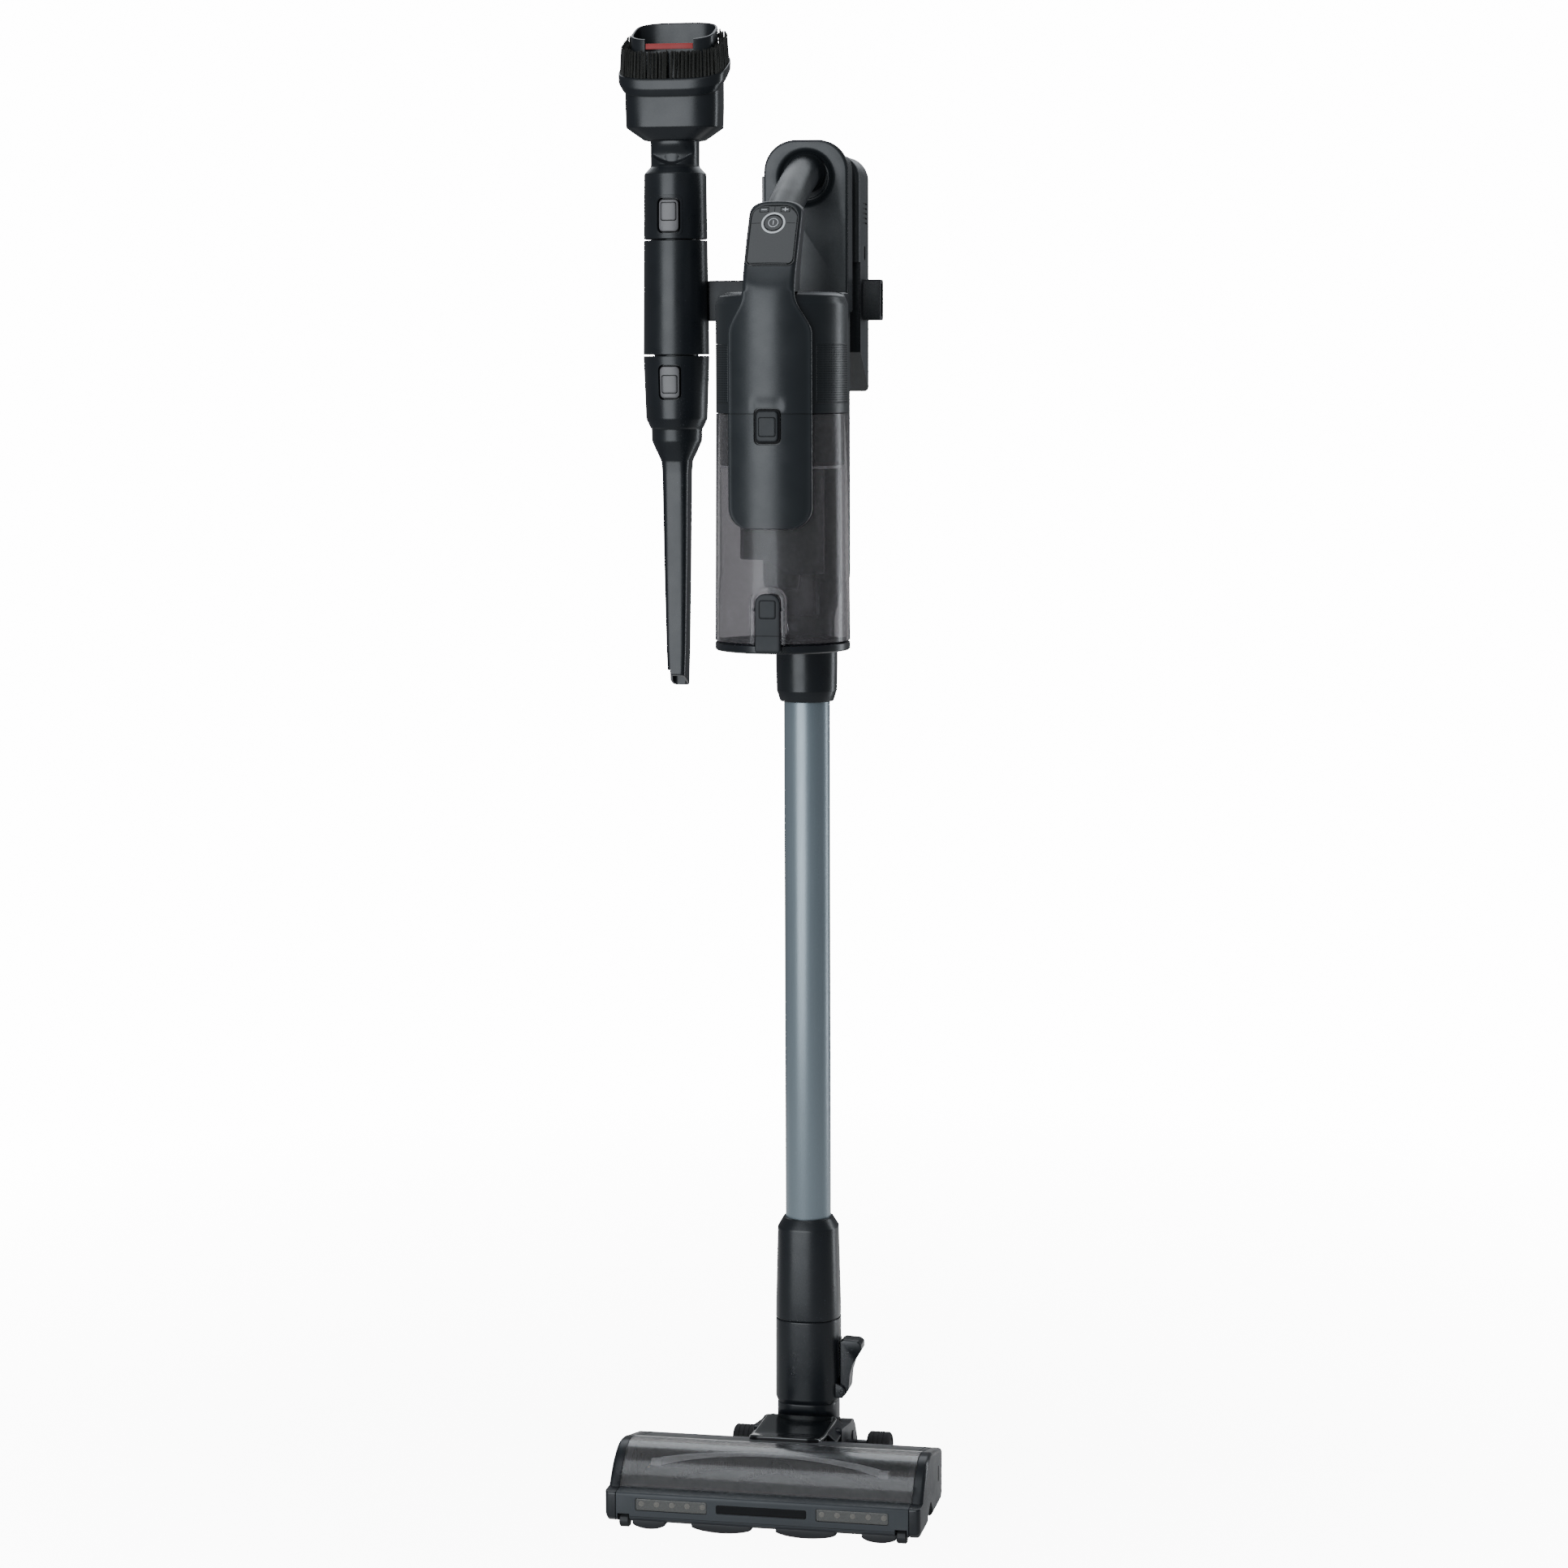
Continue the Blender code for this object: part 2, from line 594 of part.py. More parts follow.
def front_body():
    """The cover in front of the housing and the cup, running up into the neck of the control pod."""
    radius = 17.0
    sections = []
    for angle in (-90, -66, -44, -22, 0):
        drop = radius * math.sin(math.radians(angle))
        inset = radius * (1 - math.cos(math.radians(angle)))
        sections.append(cover_section(829.0 + drop, 34.2 - inset))
    for z, half in ((903, 34.2), (966, 34.2), (977, 32.4), (986, 27.0), (995, 22.2), (1000.7, 21.4)):
        sections.append(cover_section(z, half))
    sections.append(pod_section(1001.2, 21.4, 32.0, 4.0))
    sections.append(pod_section(1008, 21.5, 30.0, 3.0))
    sections.append(pod_section(1018, 21.6, 27.0))
    sections.append(pod_section(1042, 21.8, 23.5))
    sections.append(pod_section(1060, 21.8, 22.0))
    sections.append(pod_section(1067, 20.0, 20.0))
    sections.append(pod_section(1070.5, 16.0, 17.0))
    sections.append(pod_section(1072, 11.0, 14.5))
    body = lofted("front_body", BLACK, sections)
    pocket = shifted(rounded_rect(10.9, -14.5, 14.5, 4.4, 4.4, 4), 0.0, 893.5)
    cut(body, prism("cup_button_cutter", None, pocket, "xz", COVER_CROWN - 5, COVER_CROWN + 3.6))
    button = shifted(rounded_rect(10.5, -14.1, 14.1, 4.2, 4.2, 4), 0.0, 893.5)
    front = COVER_CROWN - 1.0
    prism("cup_release_button", DARK_GREY, button, "xz", front, front + 3.0, (0, front, 893.5))


POD_TILT = math.atan(POD_SLOPE)
PANEL_POINT = (0.0, COVER_CROWN + POD_SLOPE * 40.0, 1044.0)


def on_pod(name, spec, outline, low, high, steps_along=(0.0, 0.0)):
    """Extrudes an outline drawn on the pod's face, from low to high above that face, with its origin at a point
    on the face that lies (across, up) from the panel's middle."""
    across, up = steps_along
    point = Vector(PANEL_POINT) + Vector((across, up * math.sin(POD_TILT), up * math.cos(POD_TILT)))
    piece = prism(name, spec, outline, "xz", -high, -low, (0.0, 0.0, 0.0))
    piece.location = point * MM
    piece.rotation_euler = (-POD_TILT, 0.0, 0.0)
    return piece


def round_outline(radius, count=24):
    return [
        (radius * math.cos(2 * math.pi * k / count), radius * math.sin(2 * math.pi * k / count))
        for k in range(count)
    ]


def control_panel():
    outline = rounded_rect(19.2, -26.5, 28.6, 5.0, 12.0, 6)
    panel = on_pod("control_panel", BLACK, outline, 0.3, 1.7)
    cut(panel, on_pod("power_cutter", None, round_outline(7.9), -2, 5, (0.0, 11.5)))
    on_pod("power_button", DARK_GREY, round_outline(7.5), 0.9, 2.1, (0.0, 11.5))
    key = rounded_rect(3.6, -2.0, 2.0, 0.8, 0.8, 2)
    hole = rounded_rect(3.9, -2.3, 2.3, 1.0, 1.0, 2)
    for name, side in (("minus_button", -1), ("plus_button", 1)):
        cut(panel, on_pod("key_cutter", None, hole, -2, 5, (side * 8.6, 23.8)))
        on_pod(name, DARK_GREY, key, 0.9, 2.0, (side * 8.6, 23.8))


def motor_housing():
    r, low, high = HOUSING_R, HOUSING_LOW, HOUSING_HIGH
    profile = [(0.0, high), (r - 9.0, high), (r - 2.7, high - 2.7), (r, high - 9.0), (r, low), (r - 2.3, low)]
    profile += [(r - 2.3, high - 10.0), (r - 5.0, high - 4.8), (r - 10.0, high - 2.4), (0.0, high - 2.4)]
    housing = turned("motor_housing", BLACK, profile, (0.0, CUP_Y, 0.0), 44)
    for row in range(2):
        z = 921.0 + 26.0 * row
        cut(housing, box("vent_cutter", None, (-60, CUP_Y - 22, z - 2.5), (-40, CUP_Y + 14, z + 2.5)))
        cut(housing, box("vent_cutter", None, (40, CUP_Y - 22, z - 2.5), (60, CUP_Y + 14, z + 2.5)))


def motor_and_filters():
    centre = (0.0, CUP_Y, 0.0)
    can = [(0.0, 984.0), (26.0, 984.0), (29.0, 981.0), (29.0, 934.0), (3.0, 934.0), (3.0, 931.5), (0.0, 931.5)]
    turned("suction_motor", STEEL, can, centre, 32)
    ring = [(36.0, 977.0), (49.5, 977.0), (49.5, 912.0), (36.0, 912.0)]
    turned("exhaust_filter", FOAM, ring, centre, 32)
    vanes = []
    for k in range(27):
        angle = 2 * math.pi * k / 27
        radius = 32.0 if k % 3 == 0 else 13.0
        vanes.append((radius * math.cos(angle), CUP_Y + radius * math.sin(angle)))
    prism("impeller", STEEL, vanes, "xy", 913.0, 931.0, (0.0, CUP_Y, 913.0))
    carrier = [(50.6, 902.6), (50.6, 861.0), (34.3, 861.0), (34.3, 786.0), (32.3, 786.0), (32.3, 864.0)]
    carrier += [(48.6, 864.0), (48.6, 902.6)]
    turned("cyclone_shroud", DARK_GREY, carrier, centre)
    turned("pre_motor_filter", FOAM, [(0.0, 899.0), (48.2, 899.0), (48.2, 866.0), (0.0, 866.0)], centre, 32)
    cone = [(31.9, 861.0), (31.9, 857.0), (25.0, 857.0), (13.0, 762.0), (11.0, 762.0), (22.8, 861.0)]
    turned("cyclone_cone", DARK_GREY, cone, centre, 32)


# ---------------------------------------------------------------- dust cup


def dust_cup():
    outer = [(HOUSING_R, CUP_HIGH), (CUP_R_LOW, CUP_LOW), (CUP_R_LOW - 2.4, CUP_LOW), (HOUSING_R - 2.1, CUP_HIGH)]
    cup = turned("dust_cup", SMOKE, outer, (0.0, CUP_Y, 0.0), 44)
    cut(cup, box("cup_inlet_cutter", None, (-14.5, -60, 835.5), (14.5, -38, 860.5)))
    lug = [(-53.0, 722.0), (HINGE_Y - 3.4, HINGE_Z - 2.0), (HINGE_Y, HINGE_Z - 4.0), (HINGE_Y + 2.8, HINGE_Z - 2.8)]
    lug += [(HINGE_Y + 4.0, HINGE_Z), (HINGE_Y + 3.4, HINGE_Z + 2.0), (-46.0, 734.0), (-53.0, 734.0)]
    join(cup, prism("cup_lug_block", None, lug, "yz", -7, 7))
    # Frame round the latch
    arch = shifted(rounded_rect(14.6, 0.0, 46.0, 1.0, 11.0, 5), 0.0, CUP_LOW + 0.1)
    join(cup, prism("arch_block", None, arch, "xz", -160.4, -152.0))
    bay = shifted(rounded_rect(11.2, -20.0, 43.0, 1.0, 9.0, 5), 0.0, CUP_LOW)
    cut(cup, prism("arch_cutter", None, bay, "xz", -170.0, -155.4))
    cut(cup, cylinder("trunnion_cutter", None, 1.5, (-13.2, LATCH_Y, LATCH_Z), (13.2, LATCH_Y, LATCH_Z), 12))
    # The bore also clears what the cup keeps inside
    cut(cup, cylinder("cup_bore_cutter", None, 52.2, (0, CUP_Y, 700), (0, CUP_Y, 768), 48))
    cut(cup, cylinder("pin_cutter", None, 1.7, (-16, HINGE_Y, HINGE_Z), (16, HINGE_Y, HINGE_Z), 12))
    cylinder("lid_hinge_pin", STEEL, 1.4, (-14.2, HINGE_Y, HINGE_Z), (14.2, HINGE_Y, HINGE_Z), 12)


def cup_lid():
    top = 719.2 - HINGE_Z
    bottom = 711.6 - HINGE_Z
    r = CUP_R_LOW
    profile = [(0.0, top), (r, top), (r, bottom + 1.5), (r - 1.5, bottom), (0.0, bottom)]
    lid = turned("cup_lid", BLACK, profile, (0.0, CUP_Y, HINGE_Z), 44)
    for side in (-1, 1):
        near, far = sorted((side * 5.0, side * 14.0))
        join(lid, cylinder("lid_lug", None, 4.0, (near, HINGE_Y, HINGE_Z), (far, HINGE_Y, HINGE_Z), 16))
        join(lid, box("lid_web", None, (near, -60, HINGE_Z - 3.4), (far, HINGE_Y, HINGE_Z - 0.5)))
    cut(lid, box("lid_notch_cutter", None, (-7.6, -54.5, 700), (7.6, -30, 730)))
    cut(lid, cylinder("lid_pin_cutter", None, 1.7, (-16, HINGE_Y, HINGE_Z), (16, HINGE_Y, HINGE_Z), 12))
    seal = [(51.9, 723.0), (51.9, 719.5), (48.0, 719.5), (48.0, 723.0)]
    turned("lid_seal", RUBBER, seal, (0.0, CUP_Y, 0.0), 36)


def lid_latch():
    outline = shifted(rounded_rect(10.5, -35.0, 12.5, 2.0, 8.0, 4), 0.0, LATCH_Z)
    origin = (0.0, LATCH_Y, LATCH_Z)
    latch = prism("lid_latch", BLACK, outline, "xz", -161.6, -157.0, origin, 0.6)
    ends = (-12.6, LATCH_Y, LATCH_Z), (12.6, LATCH_Y, LATCH_Z)
    join(latch, cylinder("trunnion_bar", None, 1.2, *ends, 12))


# ---------------------------------------------------------------- wand


def wand():
    r = TUBE_R
    turned("wand_tube", SLATE, [(r, TUBE_HIGH), (r, TUBE_LOW), (r - 1.2, TUBE_LOW), (r - 1.2, TUBE_HIGH)])
    profile = [(17.4, 736.0), (17.4, 706.2), (26.0, 706.2), (26.0, 692.0), (25.5, 668.5), (22.4, 660.4)]
    profile += [(r + GAP, 660.4), (r + GAP, 698.0), (15.5, 700.0), (15.5, 736.0)]
    collar = turned("wand_top_collar", BLACK, profile)
    pocket = rounded_rect(7.0, 675.7, 694.3, 2.0, 2.0, 3)
    cut(collar, prism("wand_button_cutter", None, pocket, "xz", 22.4, 32.0))
    button = rounded_rect(6.6, 676.1, 693.9, 1.8, 1.8, 3)
    prism("wand_release_button", DARK_GREY, button, "xz", 24.0, 27.3, (0, 27.3, 685.0))
    outer = [
        oval(NECK_SEAM_Z + GAP, NECK_R, NECK_R, 2.4, count=32),
        oval(146, NECK_R - 0.2, NECK_R - 0.2, 2.4, count=32),
        oval(209.5, COLLAR_R, COLLAR_R, 2.4, count=32),
        oval(217.5, 21.0, 21.0, 2.2, count=32),
    ]
    inner = [oval(z, r + GAP, r + GAP, count=32) for z in (NECK_SEAM_Z + GAP, 146, 209.5, 217.5)]
    lofted_tube("wand_bottom_collar", BLACK, outer, inner)


# ---------------------------------------------------------------- floor head


def head_neck():
    outer = [
        oval(KNUCKLE_SEAM_Z + GAP, 26.4, 25.0, 2.6),
        oval(60.5, 27.9, 26.5, 2.4),
        oval(NECK_SEAM_Z - 0.1, NECK_R, NECK_R, 2.4),
        oval(NECK_SEAM_Z, 19.2, 19.2),
        oval(152, 19.2, 19.2),
    ]
    inner = [oval(z, 17.0, 17.0) for z in (KNUCKLE_SEAM_Z + GAP, 60.5, NECK_SEAM_Z - 0.1, NECK_SEAM_Z, 152)]
    neck = lofted_tube("head_neck", BLACK, outer, inner)
    for low, high in ((-12.6, -9.3), (9.3, 12.6)):
        ear = [(22.0, 61.5), (31.5, 61.5), (33.5, 64.0), (33.5, 69.0), (31.5, 71.5), (22.0, 76.0)]
        join(neck, prism("pedal_ear_block", None, ear, "xz", low, high))
    cut(neck, cylinder("pedal_pin_cutter", None, 1.8, (PEDAL_X, -14, PEDAL_Z), (PEDAL_X, 14, PEDAL_Z), 12))
    bore = cylinder("neck_bore_cutter", None, 17.0, (0, 0, 50), (0, 0, 160), 32)
    cut(neck, bore)


def release_pedal():
    side = [(28.8, 63.4), (33.0, 62.6), (34.6, 68.0), (35.6, 83.0), (38.0, 92.0), (43.0, 99.5), (47.6, 103.5)]
    side += [(47.4, 108.6), (44.5, 111.0), (32.0, 111.8), (28.8, 110.0)]
    origin = (PEDAL_X, 0.0, PEDAL_Z)
    pedal = prism("head_release_pedal", BLACK, side, "xz", -9.0, 9.0, origin, 0.8)
    join(pedal, cylinder("pedal_pin", None, 1.4, (PEDAL_X, -12.4, PEDAL_Z), (PEDAL_X, 12.4, PEDAL_Z), 12))


def neck_knuckle():
    sections = [
        oval(30, 26.3, 13.5, 4.0),
        oval(44, 26.3, 19.0, 3.2),
        oval(51, 26.2, 24.2, 2.8),
        oval(KNUCKLE_SEAM_Z, 26.2, 24.6, 2.6),
    ]
    knuckle = lofted("neck_knuckle", BLACK, sections, (0.0, 0.0, PITCH_Z))
    join(knuckle, cylinder("barrel_block", None, PITCH_R, (-26.6, 0, PITCH_Z), (26.6, 0, PITCH_Z), 32))
    join(knuckle, cylinder("swivel_spigot", None, 16.5, (0, 0, 50), (0, 0, 76), 32))
    cut(knuckle, cylinder("knuckle_bore_cutter", None, 13.0, (0, 0, PITCH_Z - 2), (0, 0, 80), 24))
    cut(knuckle, cylinder("knuckle_mouth_cutter", None, 10.0, (0, -25, PITCH_Z), (0, 0, PITCH_Z), 24))
    for side in (-1, 1):
        near, far = sorted((side * 20.0, side * 30.0))
        cut(knuckle, cylinder("trunnion_hole", None, 5.3, (near, 0, PITCH_Z), (far, 0, PITCH_Z), 16))


def yoke():
    """Carries the knuckle between two ears, and the rear axle."""
    ear = [(-50, 8), (6, 4), (22, 4), (25, 8), (23, 18), (13, 33), (6, 39), (-4, 41), (-14, 41), (-50, 46)]
    body = prism("yoke", BLACK, ear, "yz", 27.0, 38.5)
    join(body, prism("left_ear", None, ear, "yz", -38.5, -27.0))
    front = [(-86.8, 7), (-24, 7), (-19, 15), (-17.6, 26), (-19, 37), (-28.5, 46.2), (-86.8, 46.2)]
    join(body, prism("duct_block", None, front, "yz", -30.0, 30.0))
    hood = [(-112, 51.9), (-87.3, 46.9), (-80, 45.5), (-30, 45.5), (-29, 50), (-87.3, 50.2), (-111, 54.9)]
    join(body, prism("hood_block", None, hood, "yz", -30.5, 30.5))
    cut(body, cylinder("duct_bore_cutter", None, 14.0, (0, -95, PITCH_Z), (0, -10, PITCH_Z), 24))
    for side in (-1, 1):
        near, far = sorted((side * 21.0, side * 30.0))
        join(body, cylinder("trunnion", None, 5.0, (near, 0, PITCH_Z), (far, 0, PITCH_Z), 16))
        near, far = sorted((side * 36.0, side * 48.0))
        join(body, cylinder("axle_boss", None, 6.0, (near, WHEEL_Y, WHEEL_Z), (far, WHEEL_Y, WHEEL_Z), 16))
    ends = (-80, WHEEL_Y, WHEEL_Z), (80, WHEEL_Y, WHEEL_Z)
    cut(body, cylinder("axle_cutter", None, 2.8, *ends, 16))
    cylinder("rear_axle", STEEL, 2.5, (-71.0, WHEEL_Y, WHEEL_Z), (71.0, WHEEL_Y, WHEEL_Z), 16)


def rear_wheels():
    half, r = 10.0, WHEEL_R
    profile = [(2.8, half), (r - 2.0, half), (r, half - 2.0), (r, 2.0 - half), (r - 2.0, -half), (2.8, -half)]
    for name, side in (("rear_wheel_left", -1), ("rear_wheel_right", 1)):
        turned(name, RUBBER, profile, (side * 59.0, WHEEL_Y, WHEEL_Z), 28, (0.0, math.pi / 2, 0.0))


def side_profile(inset=0.0):
    """Outline of the head seen from the side, as (y, z), inset from the true outline."""
    points = [(-196.0, 3.0), (-90.0, 3.0), (-87.3, 6.0), (-87.3, 46.0), (-122.0, 53.2), (-138.0, 56.6)]
    points += [(-150.0, 57.0), (-161.0, 53.6), (-171.5, 46.4), (-180.5, 37.0), (-187.0, 28.0), (-201.0, 28.0)]
    points += [(-201.0, 7.0)]
    if not inset:
        return points
    cy, cz = -145.0, 28.0
    return [(y + math.copysign(inset, cy - y), z + math.copysign(inset, cz - z)) for y, z in points]


def side_cap(name, side):
    """An end cap whose outer face is crowned."""
    inner = side * (HEAD_HALF_WIDTH - 6.0)
    steps = ((inner, 0.0), (side * HEAD_HALF_WIDTH, 0.0), (side * (HEAD_HALF_WIDTH + 3.2), 4.0))
    loops = [[(x, y, z) for y, z in side_profile(inset)] for x, inset in steps]
    cap = lofted(name, BLACK, loops)
    x = side * HEAD_HALF_WIDTH
    notch = [(-166.0, -5.0), (-164.0, 8.0), (-155.0, 16.0), (-146.0, 8.0), (-144.0, -5.0)]
    low, high = sorted((x - side * 2.5, x + side * 8))
    cut(cap, prism("cap_notch_cutter", None, notch, "yz", low, high))
    low, high = sorted((inner - side * 5.0, inner + side * 3.0))
    cut(cap, cylinder("roll_socket_cutter", None, 6.3, (low, ROLL_Y, ROLL_Z), (high, ROLL_Y, ROLL_Z), 20))


def head_chassis():
    """Rear box of the head: floor, walls and the ducted opening to the yoke."""
    half = HEAD_HALF_WIDTH - 6.0 - GAP
    outline = [(-129.0, 3.0), (-90.0, 3.0), (-87.4, 6.0), (-87.4, 43.2), (-90.2, 43.8), (-90.2, 6.0)]
    outline += [(-125.6, 6.0), (-125.6, 49.4), (-129.0, 50.0)]
    chassis = prism("head_chassis", BLACK, outline, "yz", -half, half)
    ends = (0, -140, PITCH_Z), (0, -80, PITCH_Z)
    cut(chassis, cylinder("chassis_duct_cutter", None, 14.0, *ends, 24))
    cut(chassis, box("belt_slot_cutter", None, (-117.4, -135, 12), (-107, -120, 40)))
    join(chassis, box("belt_wall", None, (-half, -128, 4), (-half + 2.5, -89, 43)))


def head_deck():
    half = HEAD_HALF_WIDTH - 6.0 - GAP
    outline = [(-87.4, 43.6), (-87.4, 46.0), (-122.0, 53.2), (-129.5, 54.8), (-129.5, 50.6)]
    prism("head_deck", GRAPHITE, outline, "yz", -half, half)


def brush_window():
    half = HEAD_HALF_WIDTH - 6.0 - GAP
    outer = [(-129.9, 54.9), (-138.0, 56.6), (-150.0, 57.0), (-161.0, 53.6), (-171.5, 46.4), (-180.5, 37.0)]
    outer += [(-186.8, 28.3)]
    inner = [(-184.4, 28.3), (-178.6, 35.4), (-170.0, 44.4), (-160.0, 51.4), (-149.8, 54.6), (-138.2, 54.3)]
    inner += [(-129.9, 52.6)]
    prism("brush_window", SMOKE, outer + inner, "yz", -half, half)


def front_bumper():
    half = HEAD_HALF_WIDTH - 6.0 - GAP
    outline = [(-201.0, 7.0), (-196.0, 3.0), (-184.0, 3.0), (-184.0, 6.0), (-194.0, 6.5), (-196.5, 9.0)]
    outline += [(-196.5, 25.4), (-184.0, 25.4), (-184.0, 28.0), (-201.0, 28.0)]
    bumper = prism("front_bumper", GRAPHITE, outline, "yz", -half, half)
    for x, width in ((-94.5, 28.0), (-34.0, 50.0), (36.0, 50.0), (96.5, 29.0)):
        lip = shifted(rounded_rect(width / 2, 0.0, 10.0, 4.0, 3.0, 3), x, -196.0)
        join(bumper, prism("lip_block", None, lip, "xy", -3.0, 4.5))
    for side in (-1, 1):
        x = side * 115.0
        cut(bumper, box("roller_slot", None, (x - 5.0, -205.0, -5.0), (x + 5.0, -186.0, 10.3)))
        pane = shifted(rounded_rect(29.9, 13.4, 23.8, 1.5, 1.5, 3), side * 75.0, 0.0)
        cut(bumper, prism("pane_cutter", None, pane, "xz", -206.0, -190.0))


def head_lights():
    for name, side in (("light_window_left", -1), ("light_window_right", 1)):
        pane = shifted(rounded_rect(29.5, 13.8, 23.4, 1.3, 1.3, 3), side * 75.0, 0.0)
        prism(name, LENS, pane, "xz", -200.6, -197.0)


def brush_roll():
    """A core with four twisted rows of bristle, and a bare drive end on the left for the belt."""
    origin = (0.0, ROLL_Y, ROLL_Z)
    left, right, lobes, steps = -104.0, 116.0, 4, 14
    sections = []
    for k in range(steps + 1):
        x = left + (right - left) * k / steps
        twist = math.radians(1.7 * abs(x - 6.0))
        loop = []
        for i in range(lobes * 5):
            angle = twist + 2 * math.pi * i / (lobes * 5)
            radius = ROLL_R if i % 5 == 0 else 15.0
            loop.append((x, ROLL_Y + radius * math.cos(angle), ROLL_Z + radius * math.sin(angle)))
        sections.append(loop)
    roll = lofted("brush_roll", RUBBER, sections, origin)
    join(roll, cylinder("drive_end", None, ROLL_DRIVE_R, (-116.0, ROLL_Y, ROLL_Z), (-100.0, ROLL_Y, ROLL_Z), 24))
    join(roll, cylinder("roll_shaft", None, 6.0, (-124.0, ROLL_Y, ROLL_Z), (124.0, ROLL_Y, ROLL_Z), 20))


def hair_comb():
    """A bowed bar over the roll that combs hair off it."""
    outline = []
    for direction, depth in ((1, 2.2), (-1, 0.0)):
        for k in range(11):
            x = direction * (20.8 * k - 104.0)
            outline.append((x, -161.0 - depth + 0.001 * (104.0**2 - x * x)))
    prism("hair_comb", DARK_GREY, outline, "xy", 45.2, 47.6)


def belt_outline(grow):
    """The line of a belt round the pulley and the roll's drive end, that far outside them."""
    away = Vector((ROLL_Y - MOTOR_Y, ROLL_Z - MOTOR_Z))
    heading = math.atan2(away.y, away.x)
    spread = math.acos((PULLEY_R - ROLL_DRIVE_R) / away.length)
    points = []
    for (y, z), radius, start, end in (
        ((MOTOR_Y, MOTOR_Z), PULLEY_R + grow, spread, 2 * math.pi - spread),
        ((ROLL_Y, ROLL_Z), ROLL_DRIVE_R + grow, -spread, spread),
    ):
        for k in range(10):
            angle = heading + start + (end - start) * k / 9
            points.append((y + radius * math.cos(angle), z + radius * math.sin(angle)))
    return points


def brush_drive():
    ends = (-106.0, MOTOR_Y, MOTOR_Z), (-42.0, MOTOR_Y, MOTOR_Z)
    cylinder("brush_motor", STEEL, 13.5, *ends, 24)
    r = PULLEY_R
    pulley = [(1.5, 4.0), (r, 4.0), (r, -4.0), (1.5, -4.0)]
    turned("motor_pulley", BRASS, pulley, (-112.0, MOTOR_Y, MOTOR_Z), 20, (0.0, math.pi / 2, 0.0))
    belt = prism("drive_belt", RUBBER, belt_outline(GAP + 1.4), "yz", -115.2, -108.8)
    cut(belt, prism("belt_cutter", None, belt_outline(GAP), "yz", -118.0, -106.0))


def front_rollers():
    half, r = 4.2, ROLLER_R
    profile = [(0.0, half), (r - 1.0, half), (r, half - 1.0), (r, 1.0 - half), (r - 1.0, -half), (0.0, -half)]
    for name, side in (("front_roller_left", -1), ("front_roller_right", 1)):
        turned(name, DARK_GREY, profile, (side * 115.0, ROLLER_Y, ROLLER_Z), 20, (0.0, math.pi / 2, 0.0))


def build():
    dock_back_plate()
    dock_shell()
    tool_arm()
    tool_holder()
    dusting_brush()
    crevice_tool()
    rear_spine()
    battery()
    handle_grip()
    front_body()
    control_panel()
    motor_housing()
    motor_and_filters()
    dust_cup()
    cup_lid()
    lid_latch()
    wand()
    head_neck()
    release_pedal()
    neck_knuckle()
    yoke()
    rear_wheels()
    side_cap("side_cap_left", -1)
    side_cap("side_cap_right", 1)
    head_chassis()
    head_deck()
    brush_window()
    front_bumper()
    head_lights()
    brush_roll()
    hair_comb()
    brush_drive()
    front_rollers()


build()
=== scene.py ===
"""The looks of a cordless stick vacuum on its wall dock.

Shapes are worked out in millimetres in the vacuum's own axes: x = 0 and y = 0 on the wand's axis,
z = 0 under the feet, +x to the right, +y to the wall. at() takes such a point to the CAD's frame.
"""

import math
import random

import bmesh
import bpy
from mathutils import Matrix, Vector


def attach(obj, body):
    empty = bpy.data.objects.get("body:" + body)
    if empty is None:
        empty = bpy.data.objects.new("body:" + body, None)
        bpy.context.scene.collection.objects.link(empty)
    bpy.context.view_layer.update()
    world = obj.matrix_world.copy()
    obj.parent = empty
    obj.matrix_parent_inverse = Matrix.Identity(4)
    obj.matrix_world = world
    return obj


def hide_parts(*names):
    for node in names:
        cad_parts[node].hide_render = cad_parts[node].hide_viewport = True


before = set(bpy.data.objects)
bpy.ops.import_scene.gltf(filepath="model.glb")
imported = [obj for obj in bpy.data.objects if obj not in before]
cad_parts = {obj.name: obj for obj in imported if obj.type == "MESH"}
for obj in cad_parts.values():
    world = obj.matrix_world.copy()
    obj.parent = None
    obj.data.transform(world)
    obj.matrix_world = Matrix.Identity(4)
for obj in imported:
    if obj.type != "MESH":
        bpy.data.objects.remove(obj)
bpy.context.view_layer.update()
SHIFT = Vector((0.0, -0.085, -1.017))
TOOL = (-122.6, 50.0)  # axis of the stored tools
CUP = (0.0, -100.0)  # axis of the cup and the motor housing
HOUSING_R = 53.5
COVER_CROWN = -159.5  # foremost line of the front cover
POD_SLOPE = 0.571  # how far the control pod leans back per unit of height
POD_TILT = math.atan(POD_SLOPE)
POWER_UP = 11.5  # the power key on the pod's panel, above its middle
SMALL_KEY = (8.6, 23.8)  # the small keys on the panel, across and up
HEAD_HALF = 121.2  # the head between its end caps
HEAD_FRONT = -201.0
LIGHT_X = 75.0  # middle of each light window
DOCK_MIDDLE = 1017.0
# Pins and axles, each as a point on its axis
LID_PIN = (0.0, -41.5, 716.5)
LATCH_PIN = (0.0, -157.8, 748.0)
PEDAL_PIN = (30.5, 0.0, 66.0)
TILT_PIN = (0.0, 0.0, 26.0)
REAR_AXLE = (0.0, 17.0, 11.0)
ROLL_AXIS = (0.0, -152.0, 21.5)


def at(point):
    return Vector(point) * 0.001 + SHIFT


# ---------------------------------------------------------------- materials


